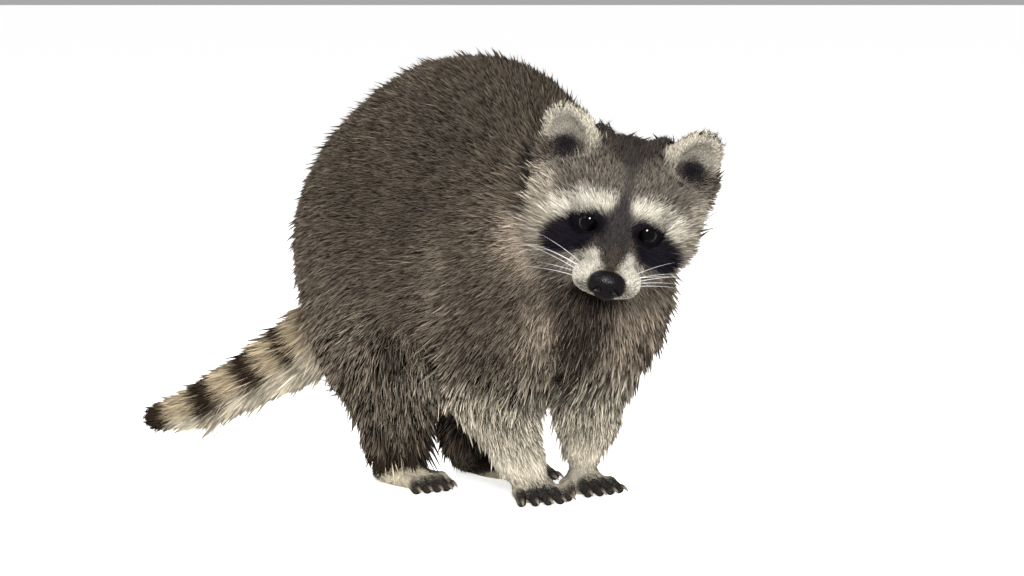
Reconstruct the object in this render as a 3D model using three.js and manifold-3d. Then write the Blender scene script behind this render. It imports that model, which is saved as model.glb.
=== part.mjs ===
// A raccoon, life size, standing on four feet with its back hunched and its head turned to its right.
// Millimetres. The animal faces +X, its left is +Y and +Z is up. The floor is z = 0.
// The body is one rounded field, the smooth union of named masses of flesh, each under its coat of hair.
// It is turned into a mesh on a grid, and thin cuts then part it where a person would name its parts.

import * as THREE from "three";
import { mergeVertices } from "three/addons/utils/BufferGeometryUtils.js";
import Module from "manifold-3d";

const wasm = await Module();
wasm.setup();

// ---------------------------------------------------------------------------------------------
// Driving dimensions
// ---------------------------------------------------------------------------------------------

const GAP = 0.3; // between two parts that touch
const TRUNK_GRID = 29; // mesh cell of the trunk, neck and upper legs
const LIMB_GRID = 15.6; // mesh cell of the lower legs and tail
const HEAD_GRID = 13; // mesh cell of the head
const MUZZLE_GRID = 8; // mesh cell of the muzzle and jaw

// The head hangs from the point midway between the eyes and turns about it.
const EYES_AT = [153, -49.5, 207.4];
const HEAD_YAW = -49.1;
const HEAD_PITCH = 24.4;
const HEAD_ROLL = -13.3;

const EYE_SPACING = 40;
const EYE_RADIUS = 9;
const EYE_INSET = -1.5; // the eyeball's centre behind the plane of the eyes
const EYE_SHIFT = 1; // of both eyes to the left of the head's middle
const EYE_RISE = 2; // of both eyes above the head's origin
const NOSE_WIDTH = 25;
const NOSE_HEIGHT = 19;
const NOSE_AT = [45.5, 0, -17];
const EAR_WIDTH = 41;
const EAR_HEIGHT = 50;
const EAR_SPACING = 84;

const TAIL_TIP_AT = [-302, -90, 31];
const TOES = 5;
const CLAW_LENGTH = 8;
const CLAW_RADIUS = 1.6;

// Each foot: the side it is on (1 left, -1 right), its heel or wrist on the floor and its heading.
const HAND = { heel: 2, length: 22, width: 35, toe: 20, toeRadius: 4.5, spread: 17 };
const SOLE = { heel: -8, length: 54, width: 33, toe: 22, toeRadius: 4.7, spread: 9 };
const FEET = {
  fore_right: { side: -1, at: [28.6, -12.5, 0], heading: -18, form: HAND },
  fore_left: { side: 1, at: [28, 35, 0], heading: -10, form: HAND },
  hind_right: { side: -1, at: [-99.5, -34.5, 0], heading: -9, form: SOLE },
  hind_left: { side: 1, at: [-74, 33, 0], heading: 4, form: SOLE },
};

const COLOURS = {
  coat: "#6f675c",
  pale: "#b9ae9b",
  dark: "#2b2723",
  face: "#8d8478",
  nose: "#161515",
  eye: "#0b0908",
  claw: "#4a4038",
};

// ---------------------------------------------------------------------------------------------
// The masses of flesh
// ---------------------------------------------------------------------------------------------

const radians = THREE.MathUtils.degToRad;

function headFrame() {
  const turn = new THREE.Euler(radians(HEAD_ROLL), radians(HEAD_PITCH), radians(HEAD_YAW), "ZYX");
  return new THREE.Matrix4().makeRotationFromEuler(turn).setPosition(...EYES_AT);
}

const BODY = new THREE.Matrix4();
const HEAD = headFrame();

// An ellipsoid of flesh with a coat, which is one depth or three along its own axes.
function ball(at, radii, coat, blend = 26, frame = BODY, turn = [0, 0, 0]) {
  const coats = Array.isArray(coat) ? coat : [coat, coat, coat];
  const euler = new THREE.Euler(radians(turn[0]), radians(turn[1]), radians(turn[2]), "ZYX");
  const local = new THREE.Matrix4().makeRotationFromEuler(euler).setPosition(...at);
  const inverse = new THREE.Matrix4().multiplyMatrices(frame, local).invert();
  return { kind: "ball", radii: radii.map((r, i) => r + coats[i]), inverse, blend };
}

// A dent in the flesh.
const hollow = (...shape) => ({ ...ball(...shape), dent: true });

// A tapered rod of flesh with a coat.
function limb(from, to, fromRadius, toRadius, coat, blend = 16, frame = BODY) {
  const a = new THREE.Vector3(...from).applyMatrix4(frame);
  const b = new THREE.Vector3(...to).applyMatrix4(frame);
  return { kind: "limb", a, b, radii: [fromRadius + coat, toRadius + coat], blend };
}

const both = (make) => [make(1), make(-1)];

const TRUNK = [
  ball([-107, 0, 173], [78, 81, 96], 12),
  ball([-60, 0, 200], [89, 83, 105], 11),
  ball([-20, 0, 206], [72, 79, 99], 11),
  ball([36, 0, 172], [66, 70, 80], 12),
  ball([76, 0, 158], [40, 44, 54], 18),
  ball([-18, 0, 146], [82, 58, 66], 20),
];

const SHOULDERS = [
  ball([58, 42, 158], [36, 24, 58], 13, 16),
  ball([52, -50, 150], [37, 28, 60], 13, 10),
];
const THIGHS = both((side) => ball([-82, side * 56, 123], [48, 30, 58], 14, 24));

const NECK = [limb([66, 0, 186], [112, -16, 212], 44, 36, 16, 26)];

const TAIL_ROOT = [-172, -4, 118];
const TAIL_BEND = [-220, -28, 80];
const TAIL_TURN = [-272, -68, 42];
const TAIL = [
  limb([-162, 0, 145], TAIL_ROOT, 30, 20, 14, 20),
  limb(TAIL_ROOT, TAIL_BEND, 17, 12, 14, 16),
  limb(TAIL_BEND, TAIL_TURN, 12, 8, 13, 10),
  limb(TAIL_TURN, TAIL_TIP_AT, 8, 5, 9, 8),
];

const LEGS = {
  fore_right: [
    limb([46, -54, 128], [27, -47, 92], 24, 24, 14, 14),
    limb([27, -47, 92], [34, -25, 30], 27, 12.5, 6.5, 14),
    limb([34, -25, 30], [40.5, -17, 10], 11, 9, 4, 8),
  ],
  fore_left: [
    limb([52, 52, 128], [35, 45, 92], 24, 21, 14, 16),
    limb([35, 45, 92], [37, 41, 52], 22, 15, 10, 14),
    limb([37, 41, 52], [38, 35, 30], 15, 7, 5, 12),
    limb([38, 35, 30], [41, 33, 10], 7.5, 7.5, 3.5, 8),
  ],
  hind_right: [
    limb([-54, -68, 112], [-78, -44, 36], 26, 14, 13, 20),
    limb([-78, -44, 36], [-86, -39, 14], 14, 11, 9, 10),
  ],
  hind_left: [
    limb([-64, 63, 112], [-80, 36, 36], 26, 16, 13, 20),
    limb([-80, 36, 36], [-79, 33, 15], 16, 13, 9, 10),
  ],
};

const HEAD_MASSES = [
  ball([-40, 0, 4], [42, 35, 31], [6, 8, 5], 14, HEAD),
  ball([-14, 0, 9], [28, 25, 19], [3, 6, 6], 12, HEAD),
  ...both((side) => ball([-26, side * 24, -17], [26, 16, 21], [3, 24, 9], 14, HEAD)),
  ...both((side) => ball([-48, side * 30, 4], [20, 16, 22], [6, 18, 10], 14, HEAD)),
  ...both((side) => ball([-42, side * 22, 33], [12, 10, 11], 7.5, 8, HEAD)),
  ball([-44, 0, 31], [10, 14, 7], 7.5, 8, HEAD),
  ...both((side) => ball([-46, side * 48, 22], [10, 9, 12], [5, 11, 8], 10, HEAD)),
  ball([-45, 0, -30], [30, 24, 24], 14, 16, HEAD),
  limb([0, 0, -11], [38, 0, -21], 17, 10, 2, 12, HEAD),
  limb([-6, 0, 3], [38, 0, -13], 12, 7, 1.5, 9, HEAD),
  ...both((side) => ball([31, side * 11, -22.5], [13.5, 11.5, 9], 1.5, 6, HEAD)),
  limb([-22, 0, -34], [22, 0, -29], 13, 5, 2.5, 8, HEAD),
  ...both((side) => hollow([16, EYE_SHIFT + side * 21.5, EYE_RISE], [12, 12, 10], 0, 6, HEAD)),
];

const ALL_MASSES = [
  ...TRUNK,
  ...SHOULDERS,
  ...THIGHS,
  ...NECK,
  ...TAIL,
  ...Object.values(LEGS).flat(),
  ...HEAD_MASSES,
];

// ---------------------------------------------------------------------------------------------
// The field: negative inside the coat
// ---------------------------------------------------------------------------------------------

const probe = new THREE.Vector3();
const along = new THREE.Vector3();

function ballDistance({ radii, inverse }, point) {
  probe.copy(point).applyMatrix4(inverse);
  const [x, y, z] = [probe.x / radii[0], probe.y / radii[1], probe.z / radii[2]];
  const reach = Math.hypot(x, y, z);
  const slope = Math.hypot(x / radii[0], y / radii[1], z / radii[2]);
  return slope < 1e-9 ? -Math.min(...radii) : (reach * (reach - 1)) / slope;
}

function limbDistance({ a, b, radii }, point) {
  along.subVectors(b, a);
  probe.subVectors(point, a);
  const share = THREE.MathUtils.clamp(probe.dot(along) / along.lengthSq(), 0, 1);
  return probe.addScaledVector(along, -share).length() - THREE.MathUtils.lerp(...radii, share);
}

const distanceTo = (mass, point) =>
  mass.kind === "ball" ? ballDistance(mass, point) : limbDistance(mass, point);

function smoothUnion(a, b, blend) {
  const near = Math.max(blend - Math.abs(a - b), 0) / blend;
  return Math.min(a, b) - (near * near * blend) / 4;
}

function addMass(sum, mass, point) {
  const distance = distanceTo(mass, point);
  return mass.dent ? -smoothUnion(-sum, distance, mass.blend) : smoothUnion(sum, distance, mass.blend);
}

const fieldOf = (masses) => (point) => masses.reduce((sum, mass) => addMass(sum, mass, point), 1e3);

// ---------------------------------------------------------------------------------------------
// The field as a mesh: one vertex in each cell that the surface crosses
// ---------------------------------------------------------------------------------------------

const CORNERS = [0, 1, 2, 3, 4, 5, 6, 7].map((c) => [c & 1, (c >> 1) & 1, (c >> 2) & 1]);
const EDGES = CORNERS.flatMap((corner, c) =>
  [0, 1, 2].filter((axis) => !corner[axis]).map((axis) => [c, c | (1 << axis)]),
);
const SETTLE_STEPS = 3;

// The field's values on a grid of points over the box from low to high.
function sampleGrid(field, low, high, cell) {
  const size = low.map((v, i) => Math.ceil((high[i] - v) / cell) + 1);
  const values = new Float64Array(size[0] * size[1] * size[2]);
  const index = (i, j, k) => i + size[0] * (j + size[1] * k);
  const place = (i, j, k) => new THREE.Vector3(low[0] + i * cell, low[1] + j * cell, low[2] + k * cell);
  for (let k = 0; k < size[2]; k++)
    for (let j = 0; j < size[1]; j++)
      for (let i = 0; i < size[0]; i++) {
        values[index(i, j, k)] = field(place(i, j, k));
      }
  return { values, size, index, place };
}

// Where two opposite corners of a face are inside and the other two outside, the surface would
// meet itself along an edge, so one of the outside corners is taken inside. It changes the grid.
function untangle({ values, index }) {
  const step = [index(1, 0, 0), index(0, 1, 0), index(0, 0, 1)];
  let changed = true;
  while (changed) {
    changed = false;
    for (let at = 0; at < values.length - step[2] - step[1] - 1; at++)
      for (const [u, v] of [[0, 1], [1, 2], [0, 2]]) {
        const face = [at, at + step[u], at + step[u] + step[v], at + step[v]];
        const inside = face.map((c) => values[c] < 0);
        const crossed = inside[0] === inside[2] && inside[1] === inside[3] && inside[0] !== inside[1];
        if (crossed) {
          values[face[inside[0] ? 1 : 0]] = -1e-3;
          changed = true;
        }
      }
  }
}

// Moves a vertex along the field's slope on to the surface, staying near its cell.
function settle(vertex, field, cell) {
  const h = cell / 50;
  const start = vertex.clone();
  for (let step = 0; step < SETTLE_STEPS; step++) {
    const here = field(vertex);
    const slope = new THREE.Vector3(
      field(vertex.clone().setX(vertex.x + h)) - here,
      field(vertex.clone().setY(vertex.y + h)) - here,
      field(vertex.clone().setZ(vertex.z + h)) - here,
    ).divideScalar(h);
    vertex.addScaledVector(slope, -here / Math.max(slope.lengthSq(), 0.2));
  }
  return vertex.distanceTo(start) > cell * 0.6 ? start : vertex;
}

// How far a point lies outside a box, or minus its depth inside.
function boxDistance(point, low, high) {
  const outside = point.toArray().map((v, i) => Math.max(low[i] - v, v - high[i]));
  return Math.max(...outside);
}

// The mesh of a field, closed off one cell inside the box from low to high.
function meshField(body, low, high, cell) {
  const [inner, outer] = [low.map((v) => v + 1.2 * cell), high.map((v) => v - 1.2 * cell)];
  const field = (point) => Math.max(body(point), boxDistance(point, inner, outer));
  const grid = sampleGrid(field, low, high, cell);
  untangle(grid);
  const [nx, ny, nz] = grid.size;
  const vertexOf = new Map();
  const positions = [];
  for (let k = 0; k < nz - 1; k++)
    for (let j = 0; j < ny - 1; j++)
      for (let i = 0; i < nx - 1; i++) {
        const values = CORNERS.map(([a, b, c]) => grid.values[grid.index(i + a, j + b, k + c)]);
        const crossings = EDGES.filter(([a, b]) => values[a] < 0 !== values[b] < 0);
        if (!crossings.length) continue;
        const vertex = new THREE.Vector3();
        for (const [a, b] of crossings) {
          const share = values[a] / (values[a] - values[b]);
          const from = grid.place(i + CORNERS[a][0], j + CORNERS[a][1], k + CORNERS[a][2]);
          const to = grid.place(i + CORNERS[b][0], j + CORNERS[b][1], k + CORNERS[b][2]);
          vertex.addScaledVector(from.lerp(to, share), 1 / crossings.length);
        }
        settle(vertex, field, cell);
        vertexOf.set(grid.index(i, j, k), positions.length / 3);
        positions.push(vertex.x, vertex.y, vertex.z);
      }

  const triangles = [];
  const step = [grid.index(1, 0, 0), grid.index(0, 1, 0), grid.index(0, 0, 1)];
  for (const at of vertexOf.keys())
    for (let axis = 0; axis < 3; axis++) {
      const [u, v] = [step[(axis + 1) % 3], step[(axis + 2) % 3]];
      const inside = grid.values[at] < 0;
      if (inside === grid.values[at + step[axis]] < 0) continue;
      const quad = [at, at - u, at - u - v, at - v].map((c) => vertexOf.get(c));
      const [a, b, c, d] = inside ? quad : quad.reverse();
      triangles.push(a, b, c, a, c, d);
    }
  return solid(positions, triangles);
}

// ---------------------------------------------------------------------------------------------
// Solids
// ---------------------------------------------------------------------------------------------

function solid(positions, triangles) {
  return new wasm.Manifold(
    new wasm.Mesh({
      numProp: 3,
      vertProperties: new Float32Array(positions),
      triVerts: new Uint32Array(triangles),
    }),
  );
}

function solidOf(geometry) {
  const bare = new THREE.BufferGeometry().setAttribute("position", geometry.getAttribute("position"));
  bare.setIndex(geometry.getIndex());
  const merged = mergeVertices(bare, 1e-4);
  return solid(merged.attributes.position.array, merged.index.array);
}

function geometryOf(body) {
  const mesh = body.getMesh();
  const geometry = new THREE.BufferGeometry();
  const positions = new Float32Array(mesh.numVert * 3);
  for (let i = 0; i < mesh.numVert; i++) {
    const first = i * mesh.numProp;
    positions.set(mesh.vertProperties.subarray(first, first + 3), i * 3);
  }
  geometry.setAttribute("position", new THREE.BufferAttribute(positions, 3));
  geometry.setIndex(new THREE.BufferAttribute(mesh.triVerts, 1));
  return geometry;
}

function eggGeometry(at, radii, { grow = 0, turn = [0, 0, 0], frame = BODY, around = 10, up = 6 } = {}) {
  const geometry = new THREE.SphereGeometry(1, around, up);
  geometry.scale(...radii.map((r) => r + grow));
  const euler = new THREE.Euler(radians(turn[0]), radians(turn[1]), radians(turn[2]), "ZYX");
  geometry.applyMatrix4(new THREE.Matrix4().makeRotationFromEuler(euler).setPosition(...at));
  return geometry.applyMatrix4(frame);
}

// An egg-shaped solid, placed in a frame.
const egg = (...shape) => solidOf(eggGeometry(...shape));

// Presses what would reach below the floor flat on it.
function pressed(geometry) {
  const positions = geometry.getAttribute("position");
  for (let i = 0; i < positions.count; i++) {
    positions.setZ(i, Math.max(positions.getZ(i), 0));
  }
  return geometry;
}

function block(low, high, grow = 0) {
  const size = low.map((v, i) => high[i] - v + 2 * grow);
  const middle = low.map((v, i) => (v + high[i]) / 2);
  return solidOf(new THREE.BoxGeometry(...size).translate(...middle));
}

// All that lies ahead of a plane, as a large block. The plane is moved forward by the shift.
function halfSpace(point, normal, shift = 0, frame = BODY) {
  const SIZE = 1000;
  const geometry = new THREE.BoxGeometry(SIZE, SIZE, SIZE).translate(0, 0, SIZE / 2 + shift);
  const facing = new THREE.Vector3(...normal).normalize();
  geometry.applyQuaternion(new THREE.Quaternion().setFromUnitVectors(new THREE.Vector3(0, 0, 1), facing));
  return solidOf(geometry.translate(...point).applyMatrix4(frame));
}

// A closed skin over rings of equal length, with a point at each end.
function loft(rings, start, end) {
  const sides = rings[0].length;
  const points = [start, ...rings.flat(), end];
  const last = points.length - 1;
  const triangles = [];
  const at = (ring, side) => 1 + ring * sides + (side % sides);
  for (let side = 0; side < sides; side++) {
    triangles.push(0, at(0, side + 1), at(0, side));
    triangles.push(last, at(rings.length - 1, side), at(rings.length - 1, side + 1));
  }
  for (let ring = 0; ring < rings.length - 1; ring++)
    for (let side = 0; side < sides; side++) {
      const [a, b] = [at(ring, side), at(ring, side + 1)];
      const [c, d] = [at(ring + 1, side), at(ring + 1, side + 1)];
      triangles.push(a, b, d, a, d, c);
    }
  const geometry = new THREE.BufferGeometry().setFromPoints(points);
  return geometry.setIndex(triangles);
}

// A rod along a path, with a radius at each of its points and domed ends.
function rod(path, radii, sides, frame, grow = 0) {
  const points = path.map((p) => new THREE.Vector3(...p).applyMatrix4(frame));
  const tangentAt = (i) => {
    const [before, after] = [points[Math.max(i - 1, 0)], points[Math.min(i + 1, points.length - 1)]];
    return new THREE.Vector3().subVectors(after, before).normalize();
  };
  const rings = points.map((point, i) => {
    const tangent = tangentAt(i);
    const across = new THREE.Vector3().crossVectors(new THREE.Vector3(0, 0, 1), tangent).normalize();
    const up = new THREE.Vector3().crossVectors(tangent, across);
    return Array.from({ length: sides }, (_, side) => {
      const angle = (2 * Math.PI * side) / sides;
      const radius = radii[i] + grow;
      return point
        .clone()
        .addScaledVector(across, radius * Math.cos(angle))
        .addScaledVector(up, radius * Math.sin(angle));
    });
  });
  const last = points.length - 1;
  const start = points[0].clone().addScaledVector(tangentAt(0), -0.6 * radii[0] - grow);
  const end = points[last].clone().addScaledVector(tangentAt(last), 0.6 * radii[last] + grow);
  return solidOf(pressed(loft(rings, start, end)));
}

const join = (bodies) => bodies.reduce((sum, body) => sum.add(body));
const cut = (body, cutters) => cutters.reduce((rest, cutter) => rest.subtract(cutter), body);

// ---------------------------------------------------------------------------------------------
// Feet
// ---------------------------------------------------------------------------------------------

const WRIST_LEVEL = 27; // where a foot is parted from its leg
const KNEE_LEVEL = 72; // where a leg is parted from its shoulder or thigh

function footFrame({ at, heading }) {
  return new THREE.Matrix4().makeRotationZ(radians(heading)).setPosition(...at);
}

// The path of one toe, from under the foot to its tip. Toe 0 is the innermost.
function toePath({ side, form }, toe) {
  const share = (2 * toe) / (TOES - 1) - 1;
  const lateral = side * share;
  const heading = radians(form.spread) * lateral;
  const setBack = toe === 0 ? form.toe * 0.34 : form.toe * 0.12 * share * share;
  const root = [form.length - 6 - setBack, lateral * (form.width / 2 - form.toeRadius * 0.7)];
  const point = (reach, z) => [
    root[0] + reach * Math.cos(heading),
    root[1] + reach * Math.sin(heading),
    z,
  ];
  return [point(0, 7.6), point(form.toe * 0.5, 7.4), point(form.toe * 0.92, 3.4)];
}

function toeRod(foot, toe, grow = 0) {
  const radius = foot.form.toeRadius;
  return rod(toePath(foot, toe), [radius, radius, radius * 0.86], 5, footFrame(foot), grow);
}

function clawRod(foot, toe) {
  const [, knuckle, tip] = toePath(foot, toe).map((p) => new THREE.Vector3(...p));
  const ahead = tip.clone().sub(knuckle).setZ(0).normalize();
  const root = tip.clone().addScaledVector(ahead, foot.form.toeRadius * 0.5).setZ(5.4);
  const point = root.clone().addScaledVector(ahead, CLAW_LENGTH * 0.86).setZ(2.2);
  return rod([root.toArray(), point.toArray()], [CLAW_RADIUS, CLAW_RADIUS * 0.4], 4, footFrame(foot));
}

function footSolid(foot, leg) {
  const { form } = foot;
  const frame = footFrame(foot);
  const palmEnd = form.length + 5;
  const palmRadii = [(palmEnd - form.heel + 1) / 2, form.width / 2, 11];
  const palm = eggGeometry([(palmEnd + form.heel - 1) / 2, 0, 7], palmRadii, { frame });
  const wrist = leg[leg.length - 1];
  const stub = rod([wrist.a.toArray(), wrist.b.toArray()], wrist.radii, 9, BODY);
  const toes = Array.from({ length: TOES }, (_, toe) => toeRod(foot, toe));
  return join([solidOf(pressed(palm)), stub, ...toes]).subtract(halfSpace([0, 0, WRIST_LEVEL], [0, 0, 1]));
}

const clawSolid = (foot, toe) => clawRod(foot, toe).subtract(toeRod(foot, toe, GAP));

// ---------------------------------------------------------------------------------------------
// Head
// ---------------------------------------------------------------------------------------------

const HEAD_CUT = { at: [97, 6, 232], facing: [0.75, -0.35, 0.45] };
const HEAD_BOX = [[60, -125, 120], [215, 60, 330]];
const MUZZLE_BOX = [[105, -115, 125], [205, -5, 235]];
const MUZZLE_START = 9; // ahead of the plane of the eyes

const eyeAt = (side, ahead = 0) => [EYE_INSET + ahead, EYE_SHIFT + (side * EYE_SPACING) / 2, EYE_RISE];

const eyeSolid = (side, grow = 0) => egg(eyeAt(side), Array(3).fill(EYE_RADIUS), { grow, frame: HEAD });

// The opening between the lids, in front of an eyeball.
const lidOpening = (side) => egg(eyeAt(side, EYE_RADIUS + 2), [10, 7.8, 6.8], { frame: HEAD });

const noseSolid = (grow = 0) =>
  egg(NOSE_AT, [8, NOSE_WIDTH / 2, NOSE_HEIGHT / 2], { grow, frame: HEAD });

const earEgg = (side, at, radii, grow = 0) =>
  egg([at[0], side * at[1], at[2]], radii, { grow, turn: [side * -16, 6, side * 22], frame: HEAD });

const earBlade = (side, grow = 0) =>
  earEgg(side, [-40, EAR_SPACING / 2, 40], [8, EAR_WIDTH / 2, EAR_HEIGHT / 2], grow);

const earCup = (side) => earEgg(side, [-30, EAR_SPACING / 2 + 1, 42], [8, 14, 18]);

const jawBlock = (grow = 0) =>
  block([-12, -15, -80], [60, 15, -27.5], grow).transform(HEAD.toArray());

function headSolids() {
  const field = fieldOf(ALL_MASSES);
  const ahead = (shift) => halfSpace([MUZZLE_START, 0, 0], [1, 0, 0], shift, HEAD);
  const beyondNeck = halfSpace(HEAD_CUT.at, HEAD_CUT.facing, GAP / 2);
  const front = meshField(field, ...MUZZLE_BOX, MUZZLE_GRID).intersect(beyondNeck);
  const whole = meshField(field, ...HEAD_BOX, HEAD_GRID).intersect(beyondNeck).subtract(ahead(-GAP / 2));
  const eyes = [...both((side) => eyeSolid(side, GAP)), ...both(lidOpening)];
  const ears = both((side) => earBlade(side, GAP));
  return {
    head: cut(whole, [...eyes, ...ears, jawBlock(GAP)]),
    muzzle: cut(front.intersect(ahead(GAP / 2)), [...eyes, noseSolid(GAP), jawBlock(GAP)]),
    lower_jaw: front.intersect(jawBlock()).subtract(noseSolid(GAP)),
    nose: noseSolid(),
    eye_left: eyeSolid(1),
    eye_right: eyeSolid(-1),
    ear_left: earBlade(1).subtract(earCup(1)),
    ear_right: earBlade(-1).subtract(earCup(-1)),
  };
}

// ---------------------------------------------------------------------------------------------
// Body
// ---------------------------------------------------------------------------------------------

const TRUNK_BOX = [[-270, -160, 25], [200, 160, 370]];
const LEGS_BOX = [[-180, -130, 0], [130, 130, 95]];
const TAIL_BOX = [[-345, -130, -5], [-165, 60, 160]];
const NECK_CUT = { at: [76, 0, 205], facing: [0.88, -0.12, 0.46] };
const CHEST_CUT = 6;
const RUMP_CUT = -74;
const TAIL_CUTS = [
  { at: [-196, -12, 110], facing: [-0.9, -0.25, -0.4] },
  { at: [-240, -38, 78], facing: [-0.72, -0.5, -0.5] },
  { at: [-284, -71, 46], facing: [-0.74, -0.5, -0.42] },
];

// The cutters that part each leg from the trunk: an egg round its top and a pillar below.
const LEG_CUTS = {
  fore_right: { egg: [[54, -62, 142], [46, 40, 62]], pillar: [[28, -37], 45] },
  fore_left: { egg: [[56, 62, 142], [46, 40, 62]], pillar: [[38, 43], 39] },
  hind_right: { egg: [[-81, -74, 116], [60, 46, 68]], pillar: [[-76, -50], 46] },
  hind_left: { egg: [[-81, 74, 116], [60, 46, 68]], pillar: [[-76, 45], 46] },
};

// An upright round column from under the floor to the knee.
function pillar([x, y], radius, grow = 0) {
  const height = 2 * (KNEE_LEVEL + grow);
  const column = new THREE.CylinderGeometry(radius + grow, radius + grow, height, 12);
  return solidOf(column.rotateX(Math.PI / 2).translate(x, y, 0));
}

const UPPER_NAMES = { fore: "upper_arm", hind: "thigh" };
const LOWER_NAMES = { fore: "forearm", hind: "shank" };
const FOOT_NAMES = { fore: "hand", hind: "foot" };

function partName(names, leg) {
  const [end, side] = leg.split("_");
  return `${names[end]}_${side}`;
}

function between(body, front, back) {
  return body
    .intersect(halfSpace(front.at, front.facing, GAP / 2))
    .subtract(halfSpace(back.at, back.facing, -GAP / 2));
}

function bodySolids() {
  const field = fieldOf(ALL_MASSES);
  const trunk = meshField(field, ...TRUNK_BOX, TRUNK_GRID);
  const legs = meshField(field, ...LEGS_BOX, LIMB_GRID);
  const tail = meshField(field, ...TAIL_BOX, LIMB_GRID);
  const headless = trunk.subtract(halfSpace(HEAD_CUT.at, HEAD_CUT.facing, -GAP / 2));
  const solids = {};

  const legCutters = [];
  for (const [leg, { egg: top, pillar: column }] of Object.entries(LEG_CUTS)) {
    solids[partName(UPPER_NAMES, leg)] = headless.intersect(egg(...top)).subtract(pillar(...column, GAP));
    solids[partName(LOWER_NAMES, leg)] = legs
      .intersect(pillar(...column))
      .intersect(halfSpace([0, 0, WRIST_LEVEL], [0, 0, 1], GAP));
    legCutters.push(egg(...top, { grow: GAP }), pillar(...column, GAP));
  }

  const [tailRoot, tailMiddle, tailEnd] = TAIL_CUTS;
  solids.tail_base = between(tail, tailRoot, tailMiddle);
  solids.tail_middle = between(tail, tailMiddle, tailEnd);
  solids.tail_tip = tail.intersect(halfSpace(tailEnd.at, tailEnd.facing, GAP / 2));

  const tailless = cut(headless, legCutters).subtract(halfSpace(tailRoot.at, tailRoot.facing, -GAP / 2));
  solids.neck = tailless.intersect(halfSpace(NECK_CUT.at, NECK_CUT.facing, GAP / 2));
  const torso = tailless.subtract(halfSpace(NECK_CUT.at, NECK_CUT.facing, -GAP / 2));
  const slab = (from, to) => block([from + GAP / 2, -500, -500], [to - GAP / 2, 500, 500]);
  solids.chest = torso.intersect(slab(CHEST_CUT, 500));
  solids.belly = torso.intersect(slab(RUMP_CUT, CHEST_CUT));
  solids.rump = torso.intersect(slab(-500, RUMP_CUT));
  return solids;
}

// ---------------------------------------------------------------------------------------------
// The model
// ---------------------------------------------------------------------------------------------

const ROUGHNESS = { nose: 0.35, eye: 0.08, claw: 0.4 };

function finish(colour) {
  const roughness = ROUGHNESS[colour] ?? 0.95;
  return new THREE.MeshStandardMaterial({ color: COLOURS[colour], roughness, metalness: 0 });
}

function colourOf(name) {
  if (name.startsWith("eye")) return "eye";
  if (name.startsWith("claw")) return "claw";
  if (name === "nose") return "nose";
  if (name.startsWith("ear") || name === "lower_jaw" || name === "muzzle") return "pale";
  if (name.startsWith("forearm") || name.startsWith("hand") || name.startsWith("foot")) return "pale";
  if (name === "tail_tip" || name.startsWith("shank")) return "dark";
  return name === "head" ? "face" : "coat";
}

function footSolids() {
  const solids = {};
  for (const [leg, foot] of Object.entries(FEET)) {
    solids[partName(FOOT_NAMES, leg)] = footSolid(foot, LEGS[leg]);
    for (let toe = 0; toe < TOES; toe++) {
      solids[`claw_${leg}_${toe + 1}`] = clawSolid(foot, toe);
    }
  }
  return solids;
}

const solids = { ...headSolids(), ...bodySolids(), ...footSolids() };

const raccoon = new THREE.Group();
for (const [name, body] of Object.entries(solids)) {
  const mesh = new THREE.Mesh(geometryOf(body), finish(colourOf(name)));
  mesh.name = name;
  raccoon.add(mesh);
}

// The part's origin is under the middle of its box, on the floor.
const bounds = new THREE.Box3().setFromObject(raccoon);
const middle = bounds.getCenter(new THREE.Vector3());
raccoon.position.set(-middle.x, -middle.y, 0);

const part = new THREE.Group();
part.add(raccoon);

export default part;
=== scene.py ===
"""A raccoon, life size, standing with its back hunched and its head low and turned to its right.

The flesh is one closed skin, meshed from a rounded field of named masses. Over it grows a coat of
solid tufts, rooted at random points of the skin, each rising about as far as the coat is deep there.
Shapes are worked out in millimetres in the animal's own frame: +X ahead, +Y its left, +Z up, floor
at z = 0. They become metres in the row frame as their meshes are made.
"""

import math
from types import SimpleNamespace

import bmesh
import bpy
import numpy as np
from mathutils import Matrix, Vector, kdtree


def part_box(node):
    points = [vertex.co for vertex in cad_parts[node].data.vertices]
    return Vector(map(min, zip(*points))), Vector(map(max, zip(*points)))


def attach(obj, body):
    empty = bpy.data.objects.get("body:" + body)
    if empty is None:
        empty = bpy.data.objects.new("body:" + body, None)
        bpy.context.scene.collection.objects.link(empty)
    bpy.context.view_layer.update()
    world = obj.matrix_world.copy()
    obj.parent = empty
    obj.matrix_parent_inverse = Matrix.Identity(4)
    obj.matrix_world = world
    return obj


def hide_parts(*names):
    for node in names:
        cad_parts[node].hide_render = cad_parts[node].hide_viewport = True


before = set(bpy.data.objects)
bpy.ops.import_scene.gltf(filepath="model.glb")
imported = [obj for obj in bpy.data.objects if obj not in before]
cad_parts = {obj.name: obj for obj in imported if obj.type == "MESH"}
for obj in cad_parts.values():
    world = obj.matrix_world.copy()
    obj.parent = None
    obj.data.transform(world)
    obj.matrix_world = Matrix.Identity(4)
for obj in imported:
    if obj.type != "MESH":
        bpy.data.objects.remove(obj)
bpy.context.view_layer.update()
SEED = 7
MM = 0.001

# ---- Driving dimensions, the same as the solids' ----

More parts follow.
